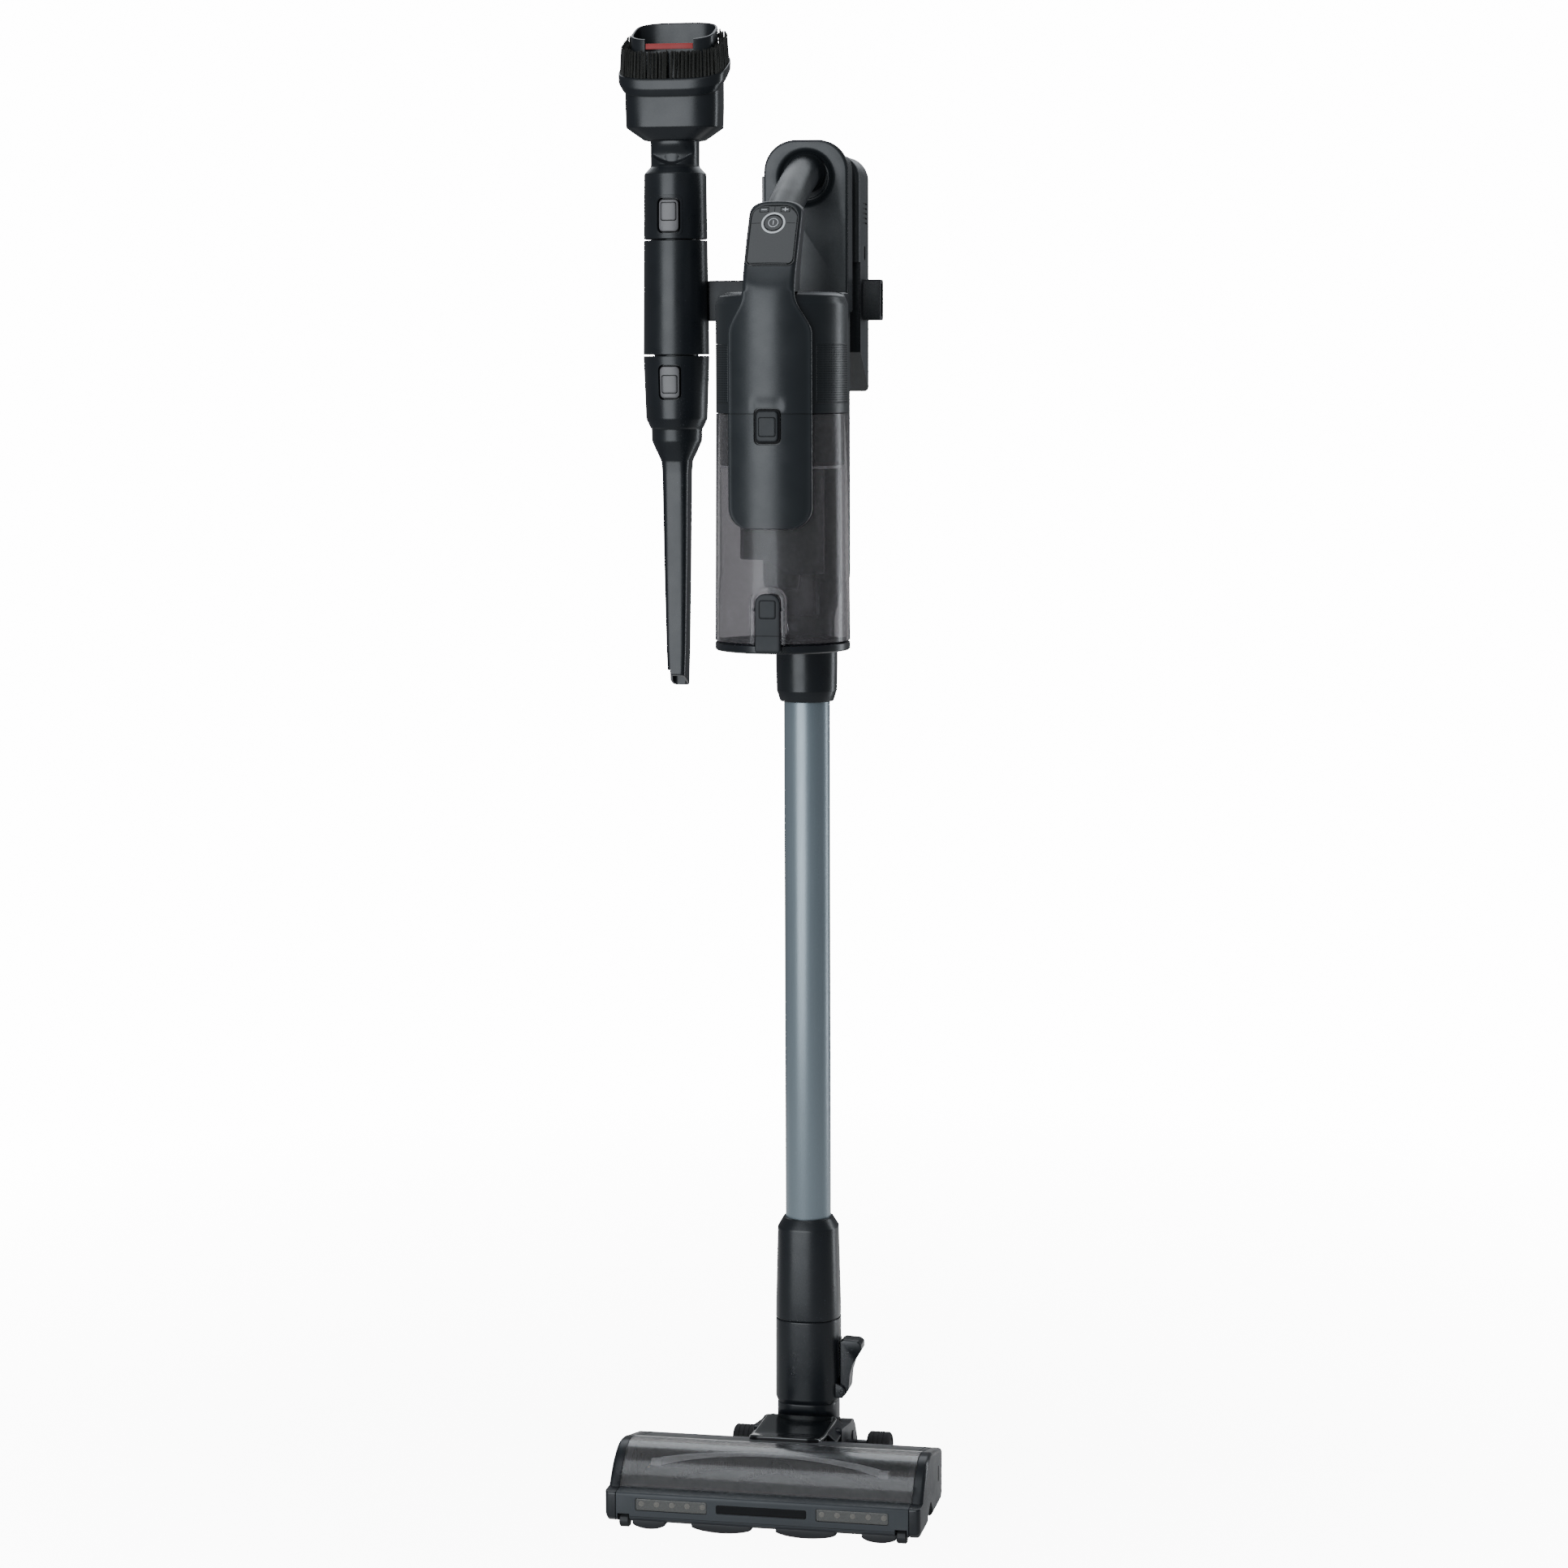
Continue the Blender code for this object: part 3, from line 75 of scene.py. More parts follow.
class Shader:
    """A material with a Principled shader, and short calls for the nodes around it."""

    def __init__(self, name, colour, roughness, metallic=0.0, **sockets):
        self.material = bpy.data.materials.new(name)
        self.material.use_nodes = True
        self.tree = self.material.node_tree
        self.shader = self.tree.nodes["Principled BSDF"]
        self.colour, self.roughness = colour, roughness
        self.set("Base Color", (*colour, 1.0))
        self.set("Roughness", roughness)
        self.set("Metallic", metallic)
        for socket, value in sockets.items():
            self.set(socket.replace("_", " "), value)
        self.place = self.node("ShaderNodeTexCoord").outputs["Object"]
        self.normal = None

    def set(self, socket, value):
        self.shader.inputs[socket].default_value = value

    def node(self, kind, **settings):
        made = self.tree.nodes.new(kind)
        for key, value in settings.items():
            if hasattr(made, key):
                setattr(made, key, value)
            else:
                made.inputs[key.replace("_", " ")].default_value = value
        return made

    def link(self, source, target):
        self.tree.links.new(source, target)

    def noise(self, scale, detail=3.0, stretch=(1.0, 1.0, 1.0)):
        mapping = self.node("ShaderNodeMapping", Scale=stretch)
        self.link(self.place, mapping.inputs["Vector"])
        noise = self.node("ShaderNodeTexNoise", Scale=scale, Detail=detail)
        self.link(mapping.outputs["Vector"], noise.inputs["Vector"])
        return noise.outputs["Fac"]

    def ranged(self, value, low, high, from_low=0.3, from_high=0.7):
        spread = self.node("ShaderNodeMapRange")
        limits = {"From Min": from_low, "From Max": from_high, "To Min": low, "To Max": high}
        for socket, number in limits.items():
            spread.inputs[socket].default_value = number
        self.link(value, spread.inputs["Value"])
        return spread.outputs["Result"]

    def vary_colour(self, value, other, low=0.0, high=1.0):
        """Drifts the colour towards another one."""
        mix = self.node("ShaderNodeMix", data_type="RGBA")
        first, second = [s for s in mix.inputs if s.type == "RGBA"]
        first.default_value, second.default_value = (*self.colour, 1.0), (*other, 1.0)
        self.link(self.ranged(value, low, high), mix.inputs["Factor"])
        self.link([s for s in mix.outputs if s.type == "RGBA"][0], self.shader.inputs["Base Color"])

    def vary_roughness(self, value, spread):
        low, high = max(0.02, self.roughness - spread), self.roughness + spread
        self.link(self.ranged(value, low, high), self.shader.inputs["Roughness"])

    def bump(self, value, depth_mm, strength=1.0):
        bump = self.node("ShaderNodeBump", Strength=strength, Distance=depth_mm * 0.001)
        self.link(value, bump.inputs["Height"])
        if self.normal:
            self.link(self.normal, bump.inputs["Normal"])
        self.normal = bump.outputs["Normal"]
        self.link(self.normal, self.shader.inputs["Normal"])


def moulded(name, colour, roughness, grain=0.04, fine=2600.0, **sockets):
    """Moulded plastic with a fine grain and a slow drift of gloss and colour."""
    made = Shader(name, colour, roughness, **sockets)
    lighter = tuple(min(1.0, c * 1.35 + 0.002) for c in colour)
    made.vary_colour(made.noise(14.0, 4.0), lighter, 0.0, 0.35)
    made.vary_roughness(made.noise(55.0, 5.0), 0.04)
    if grain:
        made.bump(made.noise(fine, 2.0), grain, 0.35)
    return made.material


def clear_plastic(name, colour, roughness, transmission, ior, **sockets):
    """Smoked clear plastic with a faint wave in its gloss."""
    made = Shader(name, colour, roughness, Transmission_Weight=transmission, IOR=ior, **sockets)
    made.vary_roughness(made.noise(20.0, 3.0), 0.015)
    return made.material


def metal(name, colour, roughness, metallic=1.0):
    """Drawn metal, with fine lines along z."""
    made = Shader(name, colour, roughness, metallic)
    drawn = made.noise(1800.0, 3.0, stretch=(1.0, 1.0, 0.02))
    made.vary_roughness(drawn, 0.04)
    made.vary_colour(made.noise(9.0, 3.0), tuple(min(1.0, c * 1.1) for c in colour), 0.0, 0.6)
    made.bump(drawn, 0.02, 0.2)
    return made.material


def fibre(name, colour, other, roughness=0.8, scale=900.0):
    made = Shader(name, colour, roughness, Sheen_Weight=0.2)
    strands = made.noise(scale, 4.0)
    made.vary_colour(strands, other)
    made.bump(strands, 0.2, 0.5)
    return made.material


SATIN = moulded("satin_black", (0.011, 0.013, 0.016), 0.30, 0.015)
COVER = moulded("cover_black", (0.016, 0.019, 0.022), 0.34, 0.02)
GRAPHITE = moulded("graphite", (0.030, 0.033, 0.037), 0.42, 0.04)
BUMPER = moulded("bumper_grey", (0.030, 0.035, 0.040), 0.46, 0.04)
MATT = moulded("matt_black", (0.014, 0.015, 0.017), 0.55, 0.06)
GLOSS = moulded("gloss_black", (0.006, 0.007, 0.008), 0.12, 0.0, Coat_Weight=0.4, Coat_Roughness=0.06)
# deep_black is the real colour of some small parts and lines. It is also painted shade: the skirts in the
# gaps round keys, the bands round raised marks, the duct front behind the cup and the slot floors in the end
# caps.
DEEP = moulded("deep_black", (0.003, 0.003, 0.004), 0.6, 0.05, Specular_IOR_Level=0.2)
KEY = moulded("key_black", (0.018, 0.020, 0.023), 0.40, 0.02, Specular_IOR_Level=0.25)
KEY_LIGHT = moulded("key_grey", (0.15, 0.146, 0.15), 0.34, 0.02)
DECK = moulded("deck_grey", (0.055, 0.057, 0.061), 0.42, 0.04)
COMB = moulded("comb_grey", (0.34, 0.34, 0.35), 0.35, 0.03)
RUBBER = moulded("soft_rubber", (0.014, 0.014, 0.015), 0.75, 0.12, 1400.0)
RED = moulded("dull_red", (0.30, 0.012, 0.012), 0.5, 0.04)
MARK = moulded("printed_grey", (0.62, 0.64, 0.66), 0.45, 0.0)
RING_LIGHT = moulded("ring_light", (0.66, 0.68, 0.69), 0.35, 0.0)
TRIM = moulded("bright_trim", (0.42, 0.42, 0.43), 0.3, 0.0)
SMOKE = clear_plastic(
    "smoked_clear", (0.50, 0.49, 0.51), 0.04, 0.95, 1.12, Coat_Weight=0.45, Coat_Roughness=0.24
)
WINDOW = clear_plastic(
    "smoked_window", (0.60, 0.60, 0.61), 0.04, 0.96, 1.2, Coat_Weight=1.0, Coat_Roughness=0.16
)
LENS = moulded("lens_clear", (0.16, 0.16, 0.152), 0.22, 0.0, Alpha=0.46)
LED = moulded(
    "led_lens", (0.42, 0.38, 0.32), 0.3, 0.0, Emission_Color=(1.0, 0.9, 0.75, 1.0), Emission_Strength=0.08
)
SLATE = metal("slate_tube", (0.27, 0.325, 0.36), 0.34, metallic=0.55)
STEEL = metal("steel", (0.45, 0.46, 0.48), 0.3)
BRASS = metal("brass", (0.62, 0.45, 0.20), 0.28)
BRISTLE = fibre("bristle", (0.008, 0.008, 0.006), (0.030, 0.029, 0.022), 0.6)
FOAM = fibre("filter_medium", (0.30, 0.31, 0.33), (0.45, 0.46, 0.48), 0.9, 300.0)


# ---------------------------------------------------------------- mesh tools, in millimetres


def new_object(name, data):
    obj = bpy.data.objects.new(name, data)
    bpy.context.scene.collection.objects.link(obj)
    return obj


def piece(name, bm, looks, body, *nodes, sharp=34.0):
    """Ends a mesh: takes it to the CAD's frame and rides it on a body, in place of CAD nodes."""
    bmesh.ops.remove_doubles(bm, verts=bm.verts, dist=0.002)
    bmesh.ops.recalc_face_normals(bm, faces=bm.faces)
    for v in bm.verts:
        v.co = at(v.co)
    mesh = bpy.data.meshes.new(name)
    bm.to_mesh(mesh)
    bm.free()
    mesh.shade_smooth()
    mesh.set_sharp_from_angle(angle=math.radians(sharp))
    for look in looks if isinstance(looks, (list, tuple)) else [looks]:
        mesh.materials.append(look)
    obj = new_object(name, mesh)
    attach(obj, body)
    if nodes:
        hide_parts(*nodes)
    return obj


def paint(faces, slot):
    for face in faces:
        face.material_index = slot


def skin(bm, loops, close=False):
    """Joins loops of points with quads and caps the ends. close joins the last loop to the first instead."""
    rings = [[bm.verts.new(p) for p in loop] for loop in loops]
    pairs = list(zip(rings, rings[1:]))
    if close:
        pairs.append((rings[-1], rings[0]))
    faces = []
    for low, high in pairs:
        for i in range(len(low)):
            j = (i + 1) % len(low)
            faces.append(bm.faces.new((low[i], low[j], high[j], high[i])))
    if not close:
        faces.append(bm.faces.new(list(reversed(rings[0]))))
        faces.append(bm.faces.new(rings[-1]))
    return faces


def spin(bm, profile, centre=(0.0, 0.0), steps=96):
    """Turns a profile of (radius, z) about a vertical axis. The profile closes on the axis or on itself."""
    loops = []
    for radius, z in profile:
        r = max(radius, 0.001)
        angles = [2 * math.pi * i / steps for i in range(steps)]
        loops.append([(centre[0] + r * math.cos(a), centre[1] + r * math.sin(a), z) for a in angles])
    return skin(bm, loops, close=not (profile[0][0] == 0.0 and profile[-1][0] == 0.0))


def spin_along(bm, profile, origin, axis, steps=48):
    """Turns a profile of (radius, height) about x or y. The height runs to +x, or to the front."""
    faces = spin(bm, profile, (0.0, 0.0), steps)
    for v in {v for f in faces for v in f.verts}:
        x, y, z = v.co
        v.co = Vector(origin) + (Vector((z, y, -x)) if axis == "x" else Vector((x, -z, y)))
    return faces


def rod(radius, low, high, edge=0.0):
    """Profile of a solid rod."""
    if not edge:
        return [(0.0, low), (radius, low), (radius, high), (0.0, high)]
    ends = [(0.0, low, 0), (radius, low, edge), (radius, high, edge), (0.0, high, 0)]
    return soften(ends, edge, closed=False)


def soften(points, radius, steps=4, closed=True):
    """Rounds the corners of an outline. A point may carry its own radius as a third number."""
    result = []
    count = len(points)
    for i, point in enumerate(points):
        here = Vector(point[:2])
        r = point[2] if len(point) > 2 else radius
        a = Vector(points[i - 1][:2]) - here
        b = Vector(points[(i + 1) % count][:2]) - here
        turn = a.angle(b, math.pi)
        if r <= 0 or turn > math.pi - 0.02 or (not closed and i in (0, count - 1)):
            result.append(tuple(here))
            continue
        reach = min(r / math.tan(turn / 2), a.length * 0.48, b.length * 0.48)
        start, end = here + a.normalized() * reach, here + b.normalized() * reach
        for k in range(steps + 1):
            t = k / steps
            result.append(tuple(start * (1 - t) ** 2 + here * (2 * t * (1 - t)) + end * t**2))
    return result


def rounded_rect(half_u, low_v, high_v, radius_low, radius_high=None, steps=8):
    high = radius_low if radius_high is None else radius_high
    corners = [(half_u, low_v, radius_low), (half_u, high_v, high)]
    corners += [(-half_u, high_v, high), (-half_u, low_v, radius_low)]
    rounded = []
    for (u, v, r), start in zip(corners, (-90, 0, 90, 180)):
        cu, cv = u - math.copysign(r, u), v + (r if v == low_v else -r)
        for k in range(steps + 1):
            angle = math.radians(start + 90 * k / steps)
            rounded.append((cu + r * math.cos(angle), cv + r * math.sin(angle)))
    return rounded


def box_outline(low_u, high_u, low_v, high_v):
    return [(low_u, low_v), (high_u, low_v), (high_u, high_v), (low_u, high_v)]


def moved(outline, du, dv):
    return [(u + du, v + dv) for u, v in outline]


def scaled(outline, inset):
    """An outline drawn in by a distance, towards the middle of its box."""
    us, vs = [u for u, _ in outline], [v for _, v in outline]
    cu, cv = (max(us) + min(us)) / 2, (max(vs) + min(vs)) / 2
    fu, fv = 1 - 2 * inset / (max(us) - min(us)), 1 - 2 * inset / (max(vs) - min(vs))
    return [(cu + (u - cu) * fu, cv + (v - cv) * fv) for u, v in outline]


AXES = {"xz": lambda u, v, n: (u, n, v), "yz": lambda u, v, n: (n, u, v), "xy": lambda u, v, n: (u, v, n)}


def slab(bm, outline, plane, low, high, edge=0.0, steps=3):
    """Extrudes a flat outline along the normal of its plane, with both rims rounded by edge."""
    place = AXES[plane]
    rims = [(0.0, 0.0)]
    if edge:
        turns = [math.pi / 2 * k / steps for k in range(steps + 1)]
        rims = [(edge * (1 - math.sin(t)), edge * (1 - math.cos(t))) for t in turns]
    stack = [(inset, low + depth) for inset, depth in rims]
    stack += [(inset, high - depth) for inset, depth in reversed(rims)]
    return skin(bm, [[place(u, v, n) for u, v in scaled(outline, inset)] for inset, n in stack])


def block(bm, low, high, edge=0.0):
    outline = box_outline(low[0], high[0], low[1], high[1])
    if edge:
        outline = soften(outline, edge, 3)
    return slab(bm, outline, "xy", low[2], high[2], edge)


def tube(bm, path, radii, steps=48):
    """Sweeps a circle along a path of points, with the radius given at each point."""
    path = [Vector(p) for p in path]
    loops = []
    for i, p in enumerate(path):
        along = (path[min(i + 1, len(path) - 1)] - path[max(i - 1, 0)]).normalized()
        side = along.cross(Vector((0, 1, 0)) if abs(along.x) > 0.9 else Vector((1, 0, 0))).normalized()
        other = along.cross(side)
        angles = [2 * math.pi * k / steps for k in range(steps)]
        loops.append([p + (side * math.cos(a) + other * math.sin(a)) * radii[i] for a in angles])
    return skin(bm, loops)


def smooth_path(points, count):
    """A smooth line through the points."""
    points = [Vector(p) for p in points]
    points = [2 * points[0] - points[1]] + points + [2 * points[-1] - points[-2]]
    result = []
    spans = len(points) - 3
    for k in range(count + 1):
        place = min(k * spans / count, spans - 1e-6)
        i = int(place)
        t = place - i
        a, b, c, d = points[i : i + 4]
        cubic = (3 * b - a - 3 * c + d) * t**3
        result.append(0.5 * ((2 * b) + (c - a) * t + (2 * a - 5 * b + 4 * c - d) * t**2 + cubic))
    return result


def beside(line, distance):
    """A line at a distance to the left of another in its plane."""
    result = []
    for i, p in enumerate(line):
        along = (line[min(i + 1, len(line) - 1)] - line[max(i - 1, 0)]).normalized()
        result.append(p + Vector((-along.y, along.x)) * distance)
    return result


def ease(value, low, high):
    t = min(max((value - low) / (high - low), 0.0), 1.0)
    return t * t * (3 - 2 * t)


def course(rows, value):
    """Reads a value off rows of (place, value) in rising order."""
    for (low, a), (high, b) in zip(rows, rows[1:]):
        if value <= high:
            return a + (b - a) * max(0.0, value - low) / (high - low)
    return rows[-1][1]


def oval(z, half_x, half_y, power=2.0, slope=0.0, centre=(0.0, 0.0), count=96):
    """A superellipse at height z: power 2 is an ellipse, and more squares it off. slope tilts it along y."""
    loop = []
    for i in range(count):
        angle = 2 * math.pi * (i + 0.5) / count
        c, s = math.cos(angle), math.sin(angle)
        x = half_x * math.copysign(abs(c) ** (2 / power), c)
        y = half_y * math.copysign(abs(s) ** (2 / power), s)
        loop.append((centre[0] + x, centre[1] + y, z + slope * y))
    return loop


def full_row(z, half_x, half_y=None, power=2.0, slope=0.0):
    """A row for ovals. With two numbers it is a circle."""
    return (z, half_x, half_x if half_y is None else half_y, power, slope)


def ovals(rows, centre=(0.0, 0.0), radius=0.8):
    """Ovals from rows of (z, half_x, half_y, power, slope), with the corners between rows rounded."""
    steps = 3
    full = [full_row(*row) for row in rows]
    result = [full[0]]
    for before, here, after in zip(full, full[1:], full[2:]):
        ends = []
        for other in (before, after):
            share = min(radius / max(math.dist(other[:3], here[:3]), 1e-6), 0.48)
            ends.append([h + (o - h) * share for h, o in zip(here, other)])
        for k in range(steps + 1):
            t = k / steps
            weights = (1 - t) ** 2, 2 * t * (1 - t), t * t
            corner = zip(ends[0], here, ends[1])
            result.append([sum(w * n for w, n in zip(weights, three)) for three in corner])
    return [oval(*row, centre) for row in result + [full[-1]]]


def boolean(bm, tool, operation="DIFFERENCE"):
    """bm with tool cut away or joined on. Both meshes are used up."""
    steps = []
    for source in (bm, tool):
        bmesh.ops.remove_doubles(source, verts=source.verts, dist=0.001)
        bmesh.ops.recalc_face_normals(source, faces=source.faces)
        mesh = bpy.data.meshes.new("step")
        source.to_mesh(mesh)
        source.free()
        steps.append(new_object("step", mesh))
    modifier = steps[0].modifiers.new("step", "BOOLEAN")
    modifier.operation = operation
    modifier.object = steps[1]
    modifier.solver = "EXACT"
    bpy.context.view_layer.update()
    made = bpy.data.meshes.new_from_object(steps[0].evaluated_get(bpy.context.evaluated_depsgraph_get()))
    result = bmesh.new()
    result.from_mesh(made)
    for obj in steps:
        bpy.data.objects.remove(obj, do_unlink=True)
    return result


def shape(build, *args, **kwargs):
    """A new mesh with one shape in it."""
    bm = bmesh.new()
    build(bm, *args, **kwargs)
    return bm


def join(bm, build, *args, **kwargs):
    return boolean(bm, shape(build, *args, **kwargs), "UNION")


def cut(bm, build, *args, **kwargs):
    return boolean(bm, shape(build, *args, **kwargs))


# Faces that keys, marks and bezels lie on: each takes (across, up, out) to a point


def front_face(y, z, x=0.0):
    return lambda u, v, h: (x + u, y - h, z + v)


def round_face(centre, radius, z, taper=0.0):
    """The front of an upright cylinder or a gentle cone."""

    def place(u, v, h):
        angle, r = u / radius, radius + taper * v + h
        return (centre[0] + r * math.sin(angle), centre[1] - r * math.cos(angle), z + v)

    return place


def layers(bm, outline, face, *heights):
    """Joins an outline at each height over a face."""
    return skin(bm, [[face(u, v, h) for u, v in outline] for h in heights])


def span(side, near, far):
    """Both ends of a stretch on one side of the middle, in rising order."""
    return sorted((side * near, side * far))


def dense(outline):
    """An outline with points added along its long sides, so that it follows a curved face."""
    result = []
    for a, b in zip(outline, outline[1:] + outline[:1]):
        parts = max(1, math.ceil(math.dist(a, b) / 1.6))
        result += [(a[0] + (b[0] - a[0]) * k / parts, a[1] + (b[1] - a[1]) * k / parts) for k in range(parts)]
    return result


def key(bm, outline, face, low, high, edge=0.5, rings=5, crown=0.0):
    """A solid laid on a face, with a rounded rim and a slight crown."""
    outline = dense(outline)
    us, vs = [u for u, _ in outline], [v for _, v in outline]
    half = min(max(us) - min(us), max(vs) - min(vs)) / 2
    steps = [(0.0, low), (0.0, high - edge), (edge * 0.1, high - edge * 0.6)]
    steps += [(edge * 0.35, high - edge * 0.25), (edge, high)]
    for k in range(1, rings):
        t = k / rings
        steps.append((edge + (half - edge) * t, high + crown * (1 - (1 - t) ** 2)))
    return skin(bm, [[face(u, v, height) for u, v in scaled(outline, inset)] for inset, height in steps])


def rim(bm, outline, face, width, low, high, edge=0.2):
    """A raised band that reaches from an outline inwards."""
    outline = dense(outline)
    steps = [(0.0, low), (0.0, high - edge), (edge, high)]
    steps += [(width - edge, high), (width, high - edge), (width, low)]
    return skin(bm, [[face(u, v, h) for u, v in scaled(outline, inset)] for inset, h in steps], close=True)


def sink(bm, outline, face, depth):
    """Cuts a pocket into bm."""
    return cut(bm, layers, dense(outline), face, -depth, 3.0)


def raised_mark(bm, mark, face, margin, width, low, rim_high, high, edge):
    """A raised square with a dark band round it: the band is painted shade, for a groove round the square."""
    paint(rim(bm, scaled(mark, -margin), face, width, low, rim_high), 1)
    key(bm, mark, face, low, high, edge)


def strand(bm, root, tip, radius):
    """A fine three-sided bristle."""
    root, tip = Vector(root), Vector(tip)
    along = (tip - root).normalized()
    side = along.cross(Vector((0.3, 0.5, 0.81))).normalized()
    other = along.cross(side)
    turns = [2 * math.pi * k / 3 for k in range(3)]
    spokes = [side * math.cos(a) + other * math.sin(a) for a in turns]
    skin(bm, [[root + s * radius for s in spokes], [tip + s * radius * 0.55 for s in spokes]])


# ---------------------------------------------------------------- stored tools


def oval_places(half_x, half_y, power, count):
    """Evenly spaced (x, y, outward direction) round an oval."""
    fine = [Vector(p[:2]) for p in oval(0.0, half_x, half_y, power, count=1440)]
    lengths = [0.0]
    for a, b in zip(fine, fine[1:] + fine[:1]):
        lengths.append(lengths[-1] + (b - a).length)
    places, i = [], 0
    for k in range(count):
        while lengths[i + 1] < lengths[-1] * k / count:
            i += 1
        along = (fine[(i + 1) % 1440] - fine[i]).normalized()
        places.append((fine[i].x, fine[i].y, Vector((along.y, -along.x))))
    return places


def tufts(bm, half_x, half_y, count, strands, low, high, slope, inward, dice):
    """A row of bristle tufts round the brush."""
    for x, y, out in oval_places(half_x, half_y, 3.4, count):
        across = Vector((-out.y, out.x))
        tuft_top = high - dice.uniform(0.0, 1.6)
        for _ in range(strands):
            off = across * dice.uniform(-0.8, 0.8) + out * dice.uniform(-0.55, 0.55)
            lean = across * dice.uniform(-0.25, 0.25) - out * dice.uniform(0.4, 1.0) * inward
            rx, ry = x + off.x, y + off.y
            root = (TOOL[0] + rx, TOOL[1] + ry, low + slope * ry)
            top = tuft_top - dice.uniform(0.0, 1.2)
            tip = (root[0] + lean.x, root[1] + lean.y, top + slope * (ry + lean.y))
            strand(bm, root, tip, dice.uniform(0.38, 0.5))


def tool_key(name, node, body, face, square):
    """A release key with a raised square on it. square is how far that sits above the key's middle."""
    bm = bmesh.new()
    # A deep black skirt below the key's rim: painted shade in the gap round the key.
    paint(key(bm, rounded_rect(9.3, -14.1, 14.1, 4.2), face, -2.9, -1.2, 0.2), 1)
    key(bm, rounded_rect(8.6, -13.3, 13.3, 3.7), face, -1.4, 0.35, 0.8)
    mark = moved(rounded_rect(6.3, -7.3, 7.3, 1.8), 0.0, square)
    raised_mark(bm, mark, face, 0.7, 0.8, 0.1, 0.45, 0.85, 0.5)
    piece(name, bm, (KEY_LIGHT, DEEP), body, node)


def collar_pocket(bm, face):
    """The key's pocket, with a bezel round it."""
    bm = sink(bm, rounded_rect(10.2, -14.9, 14.9, 4.8), face, 4.5)
    rim(bm, rounded_rect(12.0, -17.4, 17.4, 6.2), face, 1.5, -1.0, 0.45)
    return bm


def scoop(loop):
    """Hollows the front of the brush's neck."""
    result = []
    for x, y, z in loop:
        foot = 1109.5 + 9.0 * ((x - TOOL[0]) / 19.0) ** 2
        depth = 5.2 * (1 - ease(z, 1116.0, 1130.0)) * ease(z, foot, foot + 3.5)
        across = max(0.0, 1 - ((x - TOOL[0]) / 18.5) ** 4)
        result.append((x, y + depth * across if y < TOOL[1] else y, z))
    return result


def brush_body():
    outer = [(1047.6, 26.6), (1048.1, 27.1), (1102.4, 26.5), (1108.2, 21.2), (1109.0, 20.9, 20.7, 2.0)]
    outer += [(1110 + 0.8 * k, 20.6, 18.6 - 0.06 * k, 2.3 + 0.01 * k) for k in range(25)]
    outer += [(1130.0, 20.9, 17.3, 2.7), (1130.6, 26.0, 19.0, 3.0), (1140.9, 40.4, 26.4, 3.4)]
    outer += [(1158, 41.0, 27.0, 3.4), (1179.5, 41.0, 27.0, 3.4, 0.42), (1180, 40.6, 26.6, 3.4, 0.42)]
    inner = [(1047.6, 19.3), (1080.5, 19.3), (1081.5, 16.2), (1112, 16.2, 13.4), (1131, 17.0, 13.4, 2.6)]
    inner += [(1140.6, 32.5, 18.5, 3.0), (1141.2, 36.5, 22.0, 3.4), (1160, 36.5, 22.0, 3.4)]
    inner += [(1180, 36.5, 22.0, 3.4, 0.42)]
    loops = [scoop(loop) for loop in ovals(outer, TOOL, 0.7)] + ovals(inner, TOOL, 0.3)[::-1]
    face = round_face(TOOL, 26.92, 1067.0, -0.011)
    bm = collar_pocket(shape(skin, loops, close=True), face)
    piece("brush_body", bm, SATIN, "dusting_brush", "dusting_brush_body")
    tool_key("brush_key", "dusting_brush_button", "dusting_brush_key", face, 3.4)


def brush_sleeve():
    outer = [(1141.6, 36.1, 21.6, 3.4), (1150.0, 36.1, 21.6, 3.4), (1221.4, 36.1, 21.6, 3.4, 0.42)]
    outer.append((1222.0, 35.6, 21.1, 3.4, 0.42))
    inner = [(1141.6, 34.1, 19.6, 3.4), (1150.0, 34.1, 19.6, 3.4), (1221.6, 34.1, 19.6, 3.4, 0.42)]
    inner.append((1222.0, 34.5, 20.0, 3.4, 0.42))
    bm = shape(skin, ovals(outer, TOOL, 0.3) + ovals(inner, TOOL, 0.3)[::-1], close=True)
    notch = moved(rounded_rect(21.0, 0.0, 30.0, 1.2), TOOL[0], 1203.6)
    bm = cut(bm, slab, notch, "xz", 10.0, 45.0)
    front = [p for p in oval(0.0, 34.9, 20.5, 3.4, count=360) if p[1] < 0 and abs(p[0]) < 20.4]
    loops = []
    for x, y, _ in sorted(front):
        corners = soften([(y, 1205.6), (y, 1210.3), (y + 1.3, 1210.3), (y + 1.3, 1205.6)], 0.3, 2)
        loops.append([(TOOL[0] + x, TOOL[1] + v, w) for v, w in corners])
    paint(skin(bm, loops), 1)
    piece("brush_sleeve", bm, (SATIN, RED), "dusting_brush", "dusting_brush_sleeve")


def brush_bristles():
    outer = [(1177.5, 42.3, 28.3, 3.4, 0.42), (1178.2, 42.8, 28.8, 3.4, 0.42), (1185, 46.3, 31.5, 3.4, 0.42)]
    outer += [(1192.4, 46.5, 31.7, 3.4, 0.42), (1193, 45.9, 31.1, 3.4, 0.42)]
    inner = [(1177.5, 41.6, 27.6, 3.4, 0.42), (1192, 41.6, 27.6, 3.4, 0.42), (1193, 42.0, 28.0, 3.4, 0.42)]
    bm = shape(skin, ovals(outer, TOOL, 1.2) + ovals(inner, TOOL, 0.3)[::-1], close=True)
    hairs = bmesh.new()
    dice = random.Random(5)
    tufts(hairs, 44.7, 29.9, 80, 9, 1191.0, 1215.6, 0.42, 2.4, dice)
    tufts(hairs, 43.1, 28.3, 72, 8, 1191.0, 1214.8, 0.42, 5.2, dice)
    piece("bristle_carrier", bm, (SATIN, DEEP), "bristles", "bristle_ring")
    piece("brush_bristles", hairs, BRISTLE, "bristles")


